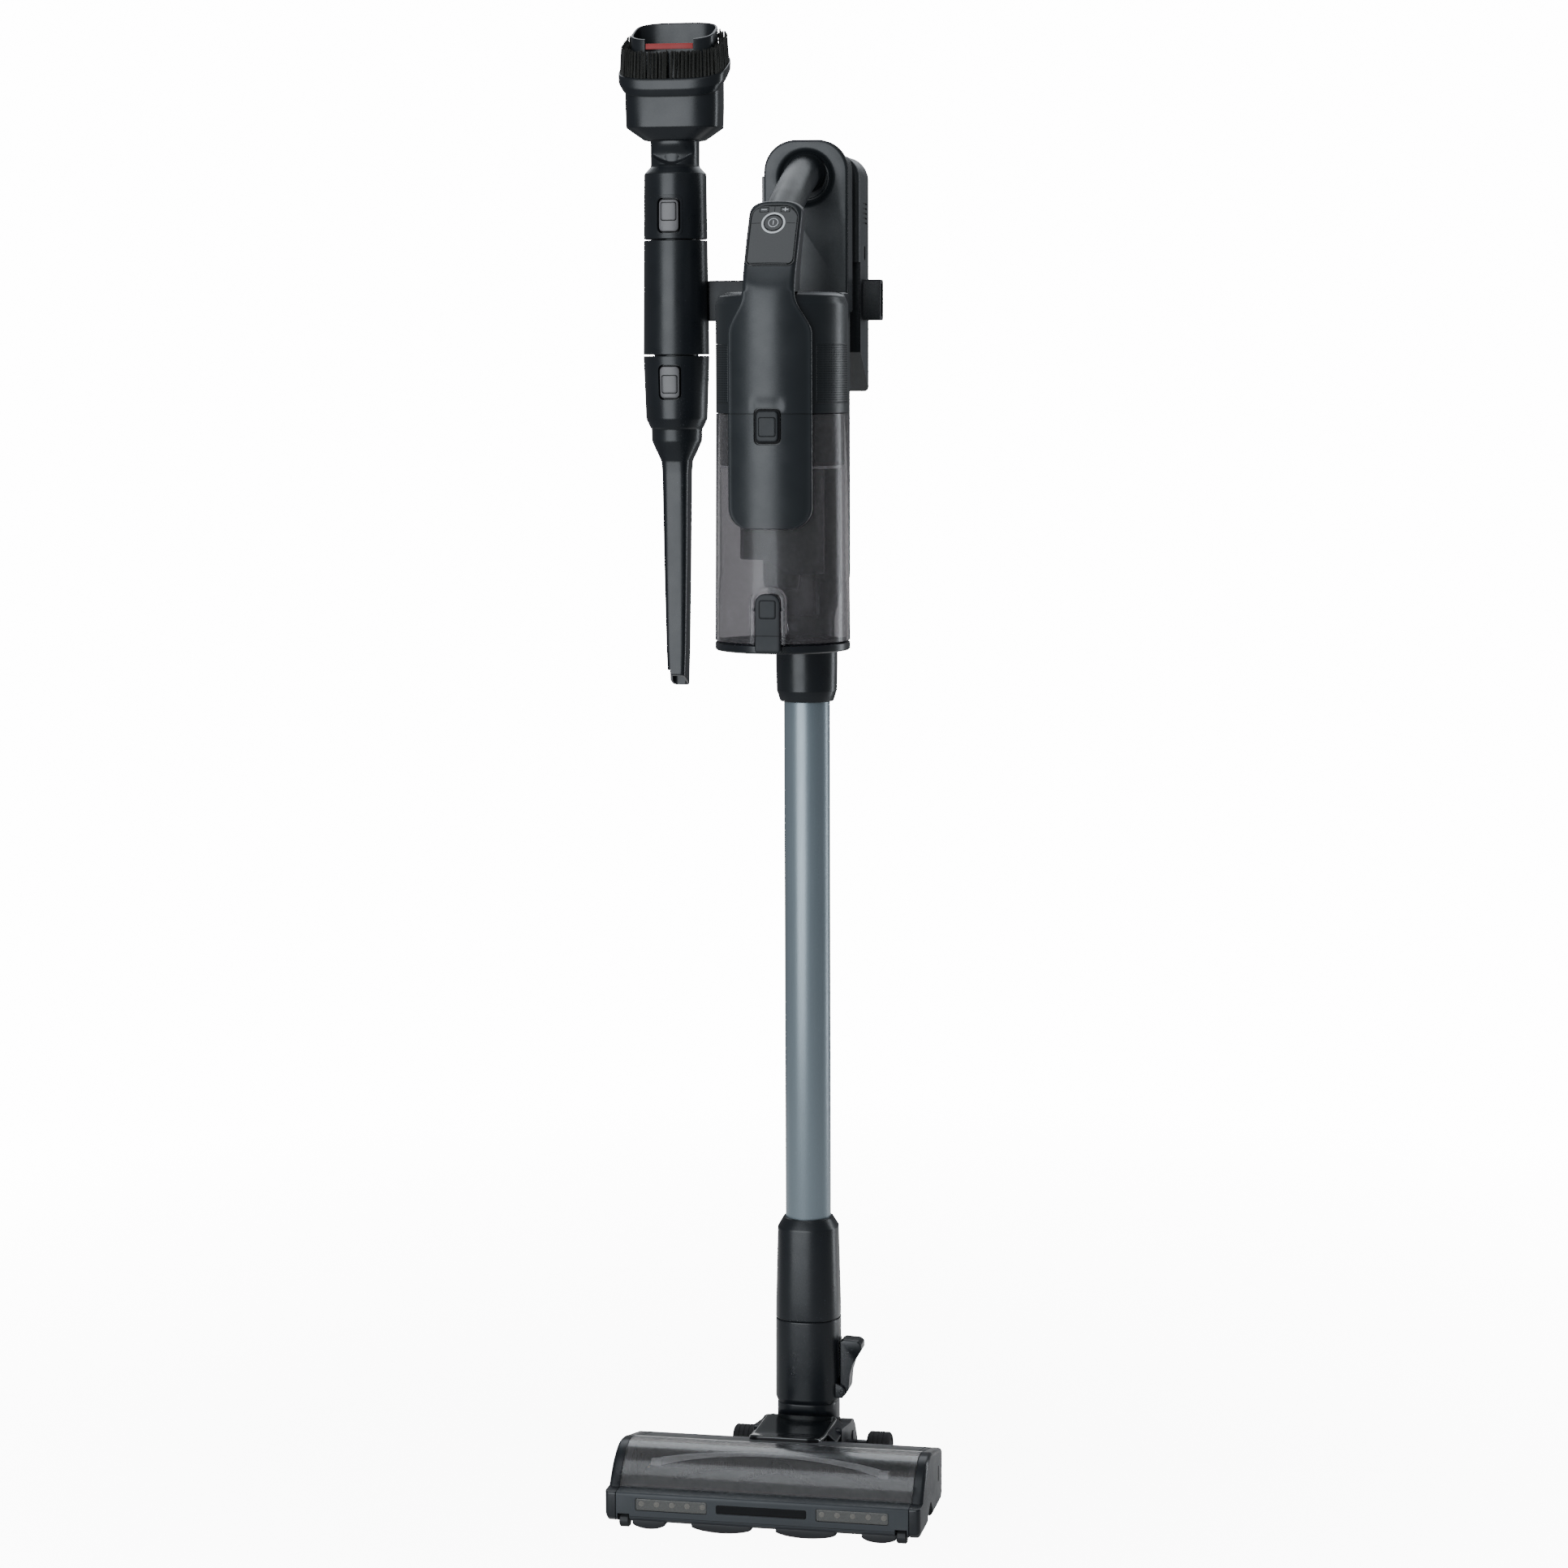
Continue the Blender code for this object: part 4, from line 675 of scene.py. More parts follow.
def crevice_tool():
    outer = [(671.6, 7.6, 11.2, 5.0, -0.46), (672.2, 7.9, 11.5, 5.0, -0.46), (698, 8.9, 12.0, 5.0)]
    outer += [(768, 10.4, 12.4, 4.5), (850, 11.7, 13.2, 4.0), (860, 12.7, 14.2, 3.4), (869, 17.5, 18.0, 2.4)]
    outer += [(877, 21.4, 21.4, 2.1), (887.4, 21.8), (888.2, 22.8), (896, 26.3), (948.7, 28.2), (949.2, 27.8)]
    inner = [(671.6, 5.8, 9.4, 5.0, -0.46), (698, 6.9, 10.0, 5.0), (768, 8.4, 10.4, 4.5)]
    inner += [(850, 9.7, 11.2, 4.0), (860, 10.7, 12.2, 3.4), (869, 14.0, 15.0, 2.4), (880, 16.2)]
    inner += [(914.6, 16.2), (915.6, 19.3), (949.2, 19.3)]
    loops = ovals(outer, TOOL, 1.4) + ovals(inner, TOOL, 0.4)[::-1]
    face = round_face(TOOL, 27.42, 927.0, 0.036)
    bm = collar_pocket(shape(skin, loops, close=True), face)
    bm = cut(bm, block, (TOOL[0] - 12, TOOL[1] - 16, 660), (TOOL[0] - 4.2, TOOL[1] + 2, 681))
    piece("crevice_nozzle", bm, SATIN, "crevice_nozzle", "crevice_tool")
    tool_key("crevice_key", "crevice_tool_button", "crevice_key", face, -1.6)


def tool_holder():
    low, high = 950.2, 1046.6
    profile = [(17.9, high + 32.4), (18.9, high + 31.4), (18.9, high, 0), (26.7, high), (27.1, high - 0.6)]
    profile += [(28.2, low + 0.6), (27.8, low), (18.9, low, 0), (18.9, low - 31.4), (17.9, low - 32.4)]
    profile += [(16.2, low - 32.4), (16.2, high + 32.4)]
    bm = shape(spin, soften(profile, 0.4, 2), TOOL)
    for z in (high + 12.0, low - 12.0):
        seal = [(18.7, z + 1.2), (19.1, z + 1.2), (19.1, z - 1.2), (18.7, z - 1.2)]
        paint(spin(bm, soften(seal, 0.2, 2), TOOL), 1)
    piece("holder_column", bm, (SATIN, DEEP), "dock", "tool_holder")


# ---------------------------------------------------------------- handheld unit


def spine_loop(z, half, front, back, power):
    return oval(z, half, (back - front) / 2, power, 0.0, (0.0, (front + back) / 2))


def rear_spine():
    """The upright behind the cup: an air duct below, and above it the plate that carries grip and battery."""
    rows = [(706.6, 24.9, -24.9, 21.9, 2.4), (707.2, 25.5, -25.5, 22.5, 2.4), (738, 25.5, -25.5, 22.5, 2.4)]
    rows += [(744, 27.3, -25.3, 22.4, 2.8), (750, 29.8, -25.0, 22.3, 3.4), (757, 33.0, -24.5, 22.1, 4.2)]
    rows += [(764, 35.3, -24.0, 22.0, 5.0), (770, 35.5, -24.0, 22.0, 5.0), (1000.2, 35.5, -24.0, 22.0, 5.0)]
    rows += [(1001, 34.7, -23.2, 21.2, 5.0)]
    bm = shape(skin, [spine_loop(*row) for row in rows])
    plate = rounded_rect(35.5, 985, 1127, 2, 26, 14)
    steps = [(0.6, 22.0), (0.0, 21.4), (0.0, 2.6), (0.55, 2.45), (0.55, 1.75), (0.1, 1.55)]
    steps += [(0.5, 0.7), (1.2, 0.15), (2.2, 0.0)]
    bm = join(bm, skin, [[(u, y, v) for u, v in scaled(plate, inset)] for inset, y in steps])
    bm = join(bm, block, (-30, -62, 904), (30, -20, 999), 1.0)
    bm = cut(bm, spin, rod(HOUSING_R + 0.4, 898, 1010), CUP)
    bm = join(bm, block, (-20, 18, 960.4), (20, 35, 980), 1.2)
    bm = cut(bm, block, (-15.5, 22.6, 950), (15.5, 30.6, 990))
    bm = join(bm, block, (-16.4, -43.6, 738), (16.4, -20, 905), 1.2)
    bm = join(bm, block, (-17, -45.5, 832), (17, -22, 864), 1.0)
    bm = cut(bm, spin, rod(18.0, 700, 850))
    bm = cut(bm, block, (-15, -50, 835), (15, 2, 861))
    dish = [(0, -5.2), (17.0, -5.2), (17.5, -6.0), (18.6, -6.0), (19.2, -5.0), (20.6, -4.4)]
    dish += [(21.8, -2.9), (22.8, -1.2), (23.8, -0.35), (25.4, 0.0), (26.6, 0.7), (0, 0.7)]
    bm = cut(bm, spin_along, dish, (0.0, 0.0, 1096.0), "y", 72)
    bm = cut(bm, block, (-32.3, 8.0, 985), (32.3, 30.0, 1140))
    bm = cut(bm, block, (-45, 9.2, 1063.7), (-31, 18.8, 1098.3), 0.4)
    for z in (745.0, 757.0, 790.0, 812.0):
        block(bm, (-15.4, -44.1, z), (15.4, -43.2, z + 0.9))
    # The front of the duct below the housing is painted deep black: painted shade, for the dark seen there
    # behind the cup.
    middles = {face: face.calc_center_median() for face in bm.faces}
    paint([face for face, middle in middles.items() if middle.y < -26 and middle.z < 903], 1)
    piece("spine", bm, (COVER, DEEP), "handheld", "rear_spine")


def handle_grip():
    bend = (0, -85, 1069.5)
    line = smooth_path([(0, 3.6, 1099.6), (0, -8, 1098.7), (0, -30, 1092), (0, -60, 1080), bend], 30)
    line += smooth_path([bend, (0, -104.0, 1061.2), (0, -117.0, 1055.4)], 8)[1:]
    radii = [14.2 + 2.2 * math.exp(-((p.y - 3.6) ** 2) / 16) for p in line]
    piece("grip", shape(tube, line, radii, 64), COVER, "handheld", "handle_grip")


def shell_loop(z, half, crown, sag, back, back_sag, corner):
    """A section with a bowed front and back and rounded side corners."""
    across, turn = 24, 6
    inner = half - corner
    xs = [inner * (2 * k / across - 1) for k in range(across + 1)]
    front = [(x, crown + sag * (x / half) ** 2) for x in xs]
    rear = [(x, back + back_sag * (x / half) ** 2) for x in reversed(xs)]
    turns = [math.radians(90 * k / turn) for k in range(1, turn)]
    y_front, y_back = front[-1][1] + corner, rear[0][1] - corner
    right = [(half - corner + corner * math.sin(t), y_front - corner * math.cos(t)) for t in turns]
    right += [(half, y_front), (half, y_back)]
    right += [(half - corner + corner * math.cos(t), y_back + corner * math.sin(t)) for t in turns]
    left = [(-x, y) for x, y in reversed(right)]
    return [(x, y, z) for x, y in front + right + rear + left]


def crown_at(z):
    """The foremost line of the cover, which bends back into the control pod."""
    rise = z - 1004.0
    return COVER_CROWN + POD_SLOPE * (rise + math.sqrt(rise * rise + 60.0)) / 2 - 0.12


def cover_width(z):
    return 34.2 - 12.8 * ease(z, 966.5, 998.0) + 0.4 * ease(z, 998.0, 1045.0)


def cover_loop(z, half, squeeze=0.0):
    bow = (half / 34.2) ** 2
    crown, back = crown_at(z) + squeeze, CUP[1] - 54.9 - squeeze
    return shell_loop(z, half - squeeze, crown, 10.8 * bow, back, 12.0 * bow, 2.2 - squeeze * 0.6)


def pod_loop(z, half, squeeze=0.0):
    depths = [(1001, 32.0), (1008, 30.0), (1018, 27.0), (1042, 23.5), (1060, 22.0), (1067, 20.0)]
    depth = course(depths + [(1072, 14.5)], z)
    sag = course([(1001, 4.2), (1008, 3.0), (1018, 1.2), (1040, 1.0)], z)
    crown = crown_at(z)
    return shell_loop(z, half - squeeze, crown + squeeze, sag, crown + depth - squeeze, -3.0, 5.0)


def pod_width(z):
    share = max(0.0, (z - 1058.0) / 14.25)
    return cover_width(z) * (1 - share**3.2) ** (1 / 3.2)


def front_body():
    """The cover in front of the housing and the cup, running up into the control pod."""
    loops = [cover_loop(812.0, 17.2, 1.5), cover_loop(812.15, 17.9, 0.7), cover_loop(812.7, 20.0, 0.15)]
    for k in range(1, 13):
        angle = math.radians(-84 + 7 * k)
        loops.append(cover_loop(829 + 17 * math.sin(angle), 34.2 - 17 * (1 - math.cos(angle))))
    loops += [cover_loop(z, 34.2) for z in (850, 880, 902.4, 902.9)]
    loops += [cover_loop(z, 34.2, 0.4) for z in (903.1, 903.6)]
    levels = [903.8, 904.4] + [905 + 1.5 * k for k in range(12)] + [940, 960]
    levels += [966 + 1.4 * k for k in range(25)]
    loops += [cover_loop(z, cover_width(z)) for z in levels]
    levels = [1001.2 + 1.9 * k for k in range(31)] + [1060 + 1.2 * k for k in range(10)]
    loops += [pod_loop(z, pod_width(z)) for z in levels]
    loops += [pod_loop(1071.6, pod_width(1071.6), 0.4), pod_loop(1072.0, pod_width(1071.9), 1.4)]
    bm = shape(skin, [hooded(loop) for loop in loops])
    face = front_face(COVER_CROWN, 893.5)
    bm = sink(bm, rounded_rect(11.2, -14.9, 14.9, 4.6), face, 3.9)
    piece("cover", bm, COVER, "handheld", "front_body")
    cup_release_key(face)


def hooded(loop):
    """Presses a shallow thumb recess into the cover above the release key."""
    result = []
    for x, y, z in loop:
        depth = 1.5 * ease(z, 903.9, 907.0) * (1 - ease(z, 909.0, 920.0)) * (1 - ease(abs(x), 9.0, 13.0))
        result.append((x, y + depth if y < -150.0 else y, z))
    return result


def cup_release_key(face):
    bm = bmesh.new()
    # A deep black skirt below the key's rim: painted shade in the gap round the key.
    paint(key(bm, rounded_rect(10.2, -13.8, 13.8, 4.1), face, -2.2, -1.2, 0.2), 1)
    key(bm, rounded_rect(8.9, -12.2, 12.2, 3.4), face, -1.7, 0.7, 0.8)
    mark = moved(rounded_rect(6.7, -7.4, 7.4, 1.8), 0.0, -0.4)
    raised_mark(bm, mark, face, 0.6, 0.7, 0.4, 0.78, 1.0, 0.4)
    piece("cup_release_key", bm, (KEY, DEEP), "cup_key", "cup_release_button")


def pod_face(across=0.0, up=0.0):
    """The pod's sloping face, measured from the middle of its panel."""

    def place(u, v, h):
        u, v, h = u + across, v + up, h - 0.95 * ((u + across) / 21.7) ** 2
        y = COVER_CROWN + POD_SLOPE * 40 + v * math.sin(POD_TILT) - h * math.cos(POD_TILT)
        return (u, y, 1044.0 + v * math.cos(POD_TILT) + h * math.sin(POD_TILT))

    return place


def disc(radius, steps=48):
    turns = [2 * math.pi * k / steps for k in range(steps)]
    return [(radius * math.cos(t), radius * math.sin(t)) for t in turns]


def control_panel():
    face = pod_face()
    bm = bmesh.new()
    key(bm, rounded_rect(18.9, -26.2, 28.2, 5.0, 11.8), face, -1.5, 0.95, 0.35, 8)
    power_face = pod_face(0.0, POWER_UP)
    bm = sink(bm, disc(7.8), power_face, 1.6)
    for side in (-1, 1):
        bm = sink(bm, rounded_rect(3.9, -2.3, 2.3, 0.8), pod_face(side * SMALL_KEY[0], SMALL_KEY[1]), 1.6)
    rim(bm, rounded_rect(19.9, -27.2, 29.2, 5.6, 12.6), face, 0.7, -1.5, 0.2, 0.1)
    for low, high in ((-17.6, -10.6), (10.6, 17.6)):
        paint(layers(bm, box_outline(low, high, -0.18, 0.18), power_face, 0.6, 0.99), 1)
    paint(layers(bm, box_outline(-0.18, 0.18, 20.6, 26.8), face, 0.6, 0.99), 1)
    paint(rim(bm, disc(9.7), power_face, 1.7, 0.4, 1.2, 0.25), 2)
    piece("panel", bm, (GLOSS, DEEP, RING_LIGHT), "handheld", "control_panel")


def small_key(name, node, body, outline, face, marks):
    """A glossy key with a printed sign."""
    bm = bmesh.new()
    key(bm, outline, face, -0.6, 1.2, 0.25)
    for mark in marks:
        paint(layers(bm, mark, face, 0.9, 1.26), 1)
    piece(name, bm, (GLOSS, MARK), body, node)


def bar(half_u, half_v):
    """A bar of a printed sign."""
    return [(half_u, -half_v), (half_u, half_v), (-half_u, half_v), (-half_u, -half_v)]


def panel_keys():
    outline = rounded_rect(3.6, -2.0, 2.0, 0.8)
    across, up = SMALL_KEY
    small_key("minus_key", "minus_button", "minus_key", outline, pod_face(-across, up), [bar(2.3, 0.32)])
    plus = [bar(2.3, 0.32), bar(0.32, 1.75)]
    small_key("plus_key", "plus_button", "plus_key", outline, pod_face(across, up), plus)
    bm = bmesh.new()
    face = pod_face(0.0, POWER_UP)
    key(bm, disc(7.4), face, -0.6, 1.3, 0.3)
    paint(rim(bm, disc(4.1, 36), face, 0.55, 0.9, 1.37, 0.04), 1)
    paint(layers(bm, bar(0.3, 1.9), face, 0.9, 1.37), 1)
    piece("power_key", bm, (GLOSS, MARK), "power_key", "power_button")


def vent_bay(bm, side):
    """A shallow curved bay in the housing for the vent plate."""
    low, high = 42.5, 92.5
    loops = []
    for k in range(41):
        angle = side * math.radians(low + (high - low) * k / 40)
        near, far = HOUSING_R - 1.1, HOUSING_R + 3.0
        section = [(near, 911.4), (far, 911.4), (far, 958.6), (near, 958.6)]
        loops.append([(CUP[0] + r * math.sin(angle), CUP[1] - r * math.cos(angle), z) for r, z in section])
    return boolean(bm, shape(skin, loops))


def vent_plate(bm, side):
    """A field of small square holes, each sunk into the plate."""
    columns, rows = 22, 25
    face = round_face(CUP, HOUSING_R, 935.0)
    width = HOUSING_R * math.radians(49.6) / columns
    start = HOUSING_R * math.radians(42.7)
    grid = []
    for row in range(rows + 1):
        v = -23.5 + 47.0 * row / rows
        grid.append([bm.verts.new(face(side * (start + width * k), v, -0.02)) for k in range(columns + 1)])
    cells = []
    for low, high in zip(grid, grid[1:]):
        for k in range(columns):
            corners = [low[k], low[k + 1], high[k + 1], high[k]]
            cells.append(bm.faces.new(corners if side > 0 else corners[::-1]))
    bm.normal_update()
    inward = [f for f in cells if f.normal.x * side < 0]
    bmesh.ops.reverse_faces(bm, faces=inward)
    bm.normal_update()
    bmesh.ops.inset_individual(bm, faces=cells, thickness=0.58, use_even_offset=True)
    bm.normal_update()
    bmesh.ops.inset_individual(bm, faces=cells, thickness=0.05, depth=-0.6, use_even_offset=True)
    paint(cells, 1)


def motor_housing():
    r, low, high = HOUSING_R, 903.3, 1000.0
    profile = [(0.0, high), (r - 9.5, high, 3.0), (r - 2.6, high - 2.6, 4.0), (r, high - 9.5, 4.0)]
    profile += [(r, low + 0.4, 0.3), (r - 0.5, low, 0.2), (r - 2.3, low, 0.2), (r - 2.3, high - 10.0)]
    profile += [(r - 5.0, high - 4.8), (r - 10.0, high - 2.4), (0.0, high - 2.4)]
    bm = shape(spin, soften(profile, 1.0, 6, closed=False), CUP, 128)
    plates = bmesh.new()
    for side in (-1, 1):
        bm = vent_bay(bm, side)
        vent_plate(plates, side)
    piece("housing", bm, COVER, "handheld", "motor_housing")
    obj = piece("vents", plates, (COVER, MATT), "handheld", sharp=50.0)
    solid = obj.modifiers.new("Thickness", "SOLIDIFY")
    solid.thickness, solid.offset = 0.0001, -1.0


# ---------------------------------------------------------------- dust cup


def cyclone():
    carrier = [(50.6, 902.6), (50.6, 861.6), (50.0, 861.0), (34.3, 861.0, 0.3), (34.3, 774.0, 0.3)]
    carrier += [(32.3, 774.0, 0.3), (32.3, 864.0), (48.6, 864.0), (48.6, 902.6)]
    bm = shape(spin, soften(carrier, 0.4, 2), CUP)
    slope = [(-60, 786.0), (-10, 786.0), (-2, 784.0), (8, 774.6), (60, 773.0), (60, 760), (-60, 760)]
    bm = cut(bm, slab, slope, "xz", CUP[1] - 60, CUP[1] + 60)
    ring = soften([(50.9, 861.4), (50.9, 859.2), (46.0, 859.2), (46.0, 861.4)], 0.4, 2)
    paint(spin(bm, ring, CUP), 1)
    piece("cyclone", bm, (MATT, TRIM), "handheld", "cyclone_shroud")


def dust_cup():
    """The clear cup, with a lug for the lid's hinge and an arch that frames the latch."""
    profile = [(53.5, 902.9), (55.0, 719.7), (52.5, 719.7), (52.2, 766.0), (51.35, 774.0), (51.35, 902.9)]
    bm = shape(spin, soften(profile, 0.35, 2), CUP, 128)
    bm = cut(bm, block, (-14.5, -60, 835.5), (14.5, -38, 860.5))
    lug = [(-53.0, 722.0), (-44.9, 714.5), (-41.5, 712.5), (-38.7, 713.7), (-37.5, 716.5), (-38.1, 718.5)]
    lug += [(-46.0, 734.0), (-53.0, 734.0)]
    bm = join(bm, slab, soften(lug, 0.8), "yz", -7, 7, 0.5)
    arch = moved(rounded_rect(14.6, 0.0, 46.0, 1.0, 11.5), 0.0, 719.8)
    bm = join(bm, slab, arch, "xz", -160.4, -152.6, 0.5)
    bay = moved(rounded_rect(11.3, -20.0, 42.8, 1.0, 8.6), 0.0, 719.7)
    bm = cut(bm, slab, bay, "xz", -170.0, -155.4)
    bm = cut(bm, spin_along, rod(1.7, -16, 16), LID_PIN, "x", 24)
    bm = cut(bm, spin_along, rod(1.5, -13.2, 13.2), LATCH_PIN, "x", 24)
    piece("cup", bm, SMOKE, "cup", "dust_cup")


def cup_lid():
    profile = [(0.0, 719.2), (52.6, 719.2, 0.4), (53.4, 718.2, 0.4), (54.9, 718.0), (55.0, 712.8)]
    profile += [(53.6, 711.6), (40.0, 711.6), (39.4, 712.3), (38.6, 712.3), (38.0, 711.6), (0.0, 711.6)]
    bm = shape(spin, soften(profile, 0.5, 4, closed=False), CUP, 128)
    for side in (-1, 1):
        low, high = span(side, 5.0, 14.0)
        bm = join(bm, spin_along, rod(4.0, low, high, 0.4), LID_PIN, "x", 32)
        bm = join(bm, block, (low, -60, 713.1), (high, -41.5, 716.0), 0.3)
    bm = cut(bm, block, (-7.6, -54.5, 700), (7.6, -30, 730))
    bm = cut(bm, spin_along, rod(1.7, -16, 16), LID_PIN, "x", 24)
    piece("lid", bm, SATIN, "lid", "cup_lid")


def lid_latch():
    face = front_face(-157.0, 748.0)
    bm = bmesh.new()
    key(bm, rounded_rect(10.4, -34.8, 12.3, 2.2, 8.0), face, 0.0, 4.5, 1.0)
    spin_along(bm, rod(1.2, -12.6, 12.6), LATCH_PIN, "x", 24)
    raised_mark(bm, rounded_rect(6.4, -7.0, 7.0, 1.8), face, 0.6, 0.7, 4.2, 4.62, 4.75, 0.35)
    paint(layers(bm, box_outline(-10.2, 10.2, -21.4, -20.9), face, 3.2, 4.56), 1)
    piece("latch", bm, (KEY, DEEP), "latch", "lid_latch")


# ---------------------------------------------------------------- wand and neck


def back_face(u, v, h):
    """The back of the wand's socket, where its key lies."""
    return (-u, 24.0 + h, 685.0 + v)


def wand():
    tube_wall = [(19.4, 697.5), (19.4, 168.0), (18.2, 168.0), (18.2, 697.5)]
    piece("tube", shape(spin, soften(tube_wall, 0.2, 2)), SLATE, "wand", "wand_tube")
    profile = [(17.4, 736.0), (17.4, 706.2, 0), (25.6, 706.2), (26.0, 705.6), (26.0, 692.0)]
    profile += [(25.5, 669.5, 1.2), (22.6, 660.4), (19.7, 660.4), (19.7, 698.0), (15.5, 700.0), (15.5, 736.0)]
    bm = shape(spin, soften(profile, 0.5, 3), (0.0, 0.0), 112)
    bm = cut(bm, layers, rounded_rect(7.0, -9.3, 9.3, 2.0), back_face, -1.6, 9.0)
    piece("wand_socket", bm, SATIN, "wand", "wand_top_collar")
    bm = shape(key, rounded_rect(6.6, -8.9, 8.9, 1.8), back_face, 0.0, 3.2, 0.7)
    for v in (-3.0, 0.0, 3.0):
        key(bm, moved(rounded_rect(4.0, -0.5, 0.5, 0.4, steps=3), 0.0, v), back_face, 2.9, 3.6, 0.2)
    piece("wand_key", bm, KEY_LIGHT, "wand_key", "wand_release_button")
    outer = [(130.3, 27.1, 27.1, 2.4), (130.8, 27.6, 27.6, 2.4), (146, 27.4, 27.4, 2.4)]
    outer += [(209.0, 25.8, 25.8, 2.4), (216.9, 21.3, 21.3, 2.2), (217.5, 20.7, 20.7, 2.1)]
    inner = [(130.3, 19.7, 19.7), (217.5, 19.7, 19.7)]
    bm = shape(skin, ovals(outer, radius=1.0) + ovals(inner)[::-1], close=True)
    piece("wand_plug", bm, SATIN, "wand", "wand_bottom_collar")


def neck():
    """The duct that swivels on the knuckle, with two ears for the pedal's pin."""
    outer = [(57.3, 26.3, 24.9, 2.6), (58.0, 26.5, 25.1, 2.6), (60.8, 27.9, 26.5, 2.4)]
    outer += [(129.3, 27.6, 27.6, 2.4), (129.9, 27.1, 27.1, 2.4), (130.0, 19.2), (151.4, 19.2), (152.0, 18.7)]
    inner = [(57.3, 17.0), (152.0, 17.0)]
    bm = shape(skin, ovals(outer, radius=0.5) + ovals(inner)[::-1], close=True)
    ear = soften([(22.0, 61.5), (31.5, 61.5), (33.5, 64.0), (33.5, 69.0), (31.5, 71.5), (22.0, 76.0)], 0.8)
    for low, high in ((-12.6, -9.3), (9.3, 12.6)):
        bm = join(bm, slab, ear, "xz", low, high, 0.4)
    bm = cut(bm, spin_along, rod(1.8, -14, 14), PEDAL_PIN, "y", 24)
    backing = [(20.0, 77.5), (27.9, 77.5), (27.9, 110.0), (26.4, 112.5), (20.0, 112.5)]
    bm = join(bm, slab, soften(backing, 1.0), "xz", -8.0, 8.0, 0.8)
    bm = cut(bm, spin, rod(17.0, 50, 160))
    piece("neck_tube", bm, SATIN, "neck", "head_neck")


def pedal_top(u, v, h):
    return (38.6 + u, v, 111.15 - 0.045 * u + h)


def pedal():
    side = [(28.8, 63.4), (33.0, 62.6), (36.2, 68.0, 4), (37.6, 82.0, 8), (40.2, 91.0, 6), (44.6, 98.5, 5)]
    side += [(47.6, 103.5, 1.5), (47.4, 108.6, 2.4), (44.5, 111.0, 2), (32.0, 111.8, 1), (28.8, 110.0, 1)]
    bm = shape(slab, soften(side, 1.0, 5), "xz", -9.0, 9.0, 1.2)
    for u in (-3.2, 0.4, 4.0):
        for v in (-3.2, 3.2):
            key(bm, moved(rounded_rect(0.65, -1.6, 1.6, 0.6, steps=4), u, v), pedal_top, -0.6, 0.45, 0.3)
    spin_along(bm, rod(1.4, -12.4, 12.4), PEDAL_PIN, "y", 24)
    piece("release_pedal", bm, SATIN, "pedal", "head_release_pedal")


def knuckle():
    rows = [(30, 26.3, 13.5, 4.0), (44, 26.3, 19.0, 3.2), (51, 26.2, 24.2, 2.8), (56.6, 26.2, 24.6, 2.6)]
    rows.append((57.0, 25.8, 24.2, 2.6))
    bm = shape(skin, ovals(rows, radius=1.2))
    bm = join(bm, spin_along, rod(15.0, -26.6, 26.6, 0.6), TILT_PIN, "x", 64)
    bm = join(bm, spin, rod(16.5, 50, 76, 0.6))
    bm = cut(bm, spin, rod(13.0, 24, 80))
    bm = cut(bm, spin_along, rod(10.0, 0, 25), TILT_PIN, "y")
    for side in (-1, 1):
        bm = cut(bm, spin_along, rod(5.3, *span(side, 20.0, 30.0)), TILT_PIN, "x", 32)
    piece("knuckle_joint", bm, SATIN, "knuckle", "neck_knuckle")


# ---------------------------------------------------------------- floor head


def hood_face(u, v, h):
    """The top of the hood, which rises with the deck under it. u runs across and v to the back."""
    lift = 0.2 * (-89.0 - v + math.sqrt((v + 89.0) ** 2 + 30.0)) / 2
    return (u, v, 50.2 + lift - 0.35 * (u / 30.0) ** 4 + h)


def yoke():
    """Carries the knuckle between two ears, the hood over it and the rear axle."""
    ear = [(-50, 8), (6, 4), (22, 4), (25, 8), (23, 18), (13, 33), (6, 39, 5), (-4, 41, 5), (-14, 41, 3)]
    ear.append((-50, 46))
    bm = bmesh.new()
    for low, high in ((27.0, 38.5), (-38.5, -27.0)):
        slab(bm, soften(ear, 2.4, 5), "yz", low, high, 1.4)
    duct = [(-86.8, 7), (-24, 7), (-19, 15), (-17.6, 26), (-19, 37), (-28.5, 46.2), (-86.8, 46.2)]
    body = shape(slab, soften(duct, 1.0), "yz", -30.0, 30.0, 0.8)
    body = cut(body, spin_along, rod(14.0, 10.0, 95.0), TILT_PIN, "y", 48)
    copy_into(bm, body)
    outline = rounded_rect(30.5, -112.2, -29.0, 11.0, 4.0, 10)
    paint(key(bm, outline, hood_face, -4.6, 0.0, 1.5, 8), 1)
    for side in (-1, 1):
        spin_along(bm, rod(5.0, *span(side, 21.0, 30.0), 0.5), TILT_PIN, "x", 32)
        spin_along(bm, rod(6.0, *span(side, 36.0, 48.0), 0.8), REAR_AXLE, "x", 32)
        web = [(24.0, 40.0), (37.5, 38.0), (37.5, 41.0), (32.0, 46.0), (28.0, 49.2), (24.0, 50.0)]
        slab(bm, soften([(side * x, z) for x, z in web], 1.5), "xz", -72.0, -26.0, 2.0)
        spin_along(bm, rod(4.2, *span(side, 38.4, 39.4), 0.3), TILT_PIN, "x", 32)
    piece("yoke_and_hood", bm, (SATIN, GLOSS), "head", "yoke")


def copy_into(bm, other):
    """Adds another mesh to bm as it stands."""
    mesh = bpy.data.meshes.new("step")
    other.to_mesh(mesh)
    other.free()
    bm.from_mesh(mesh)
    bpy.data.meshes.remove(mesh)


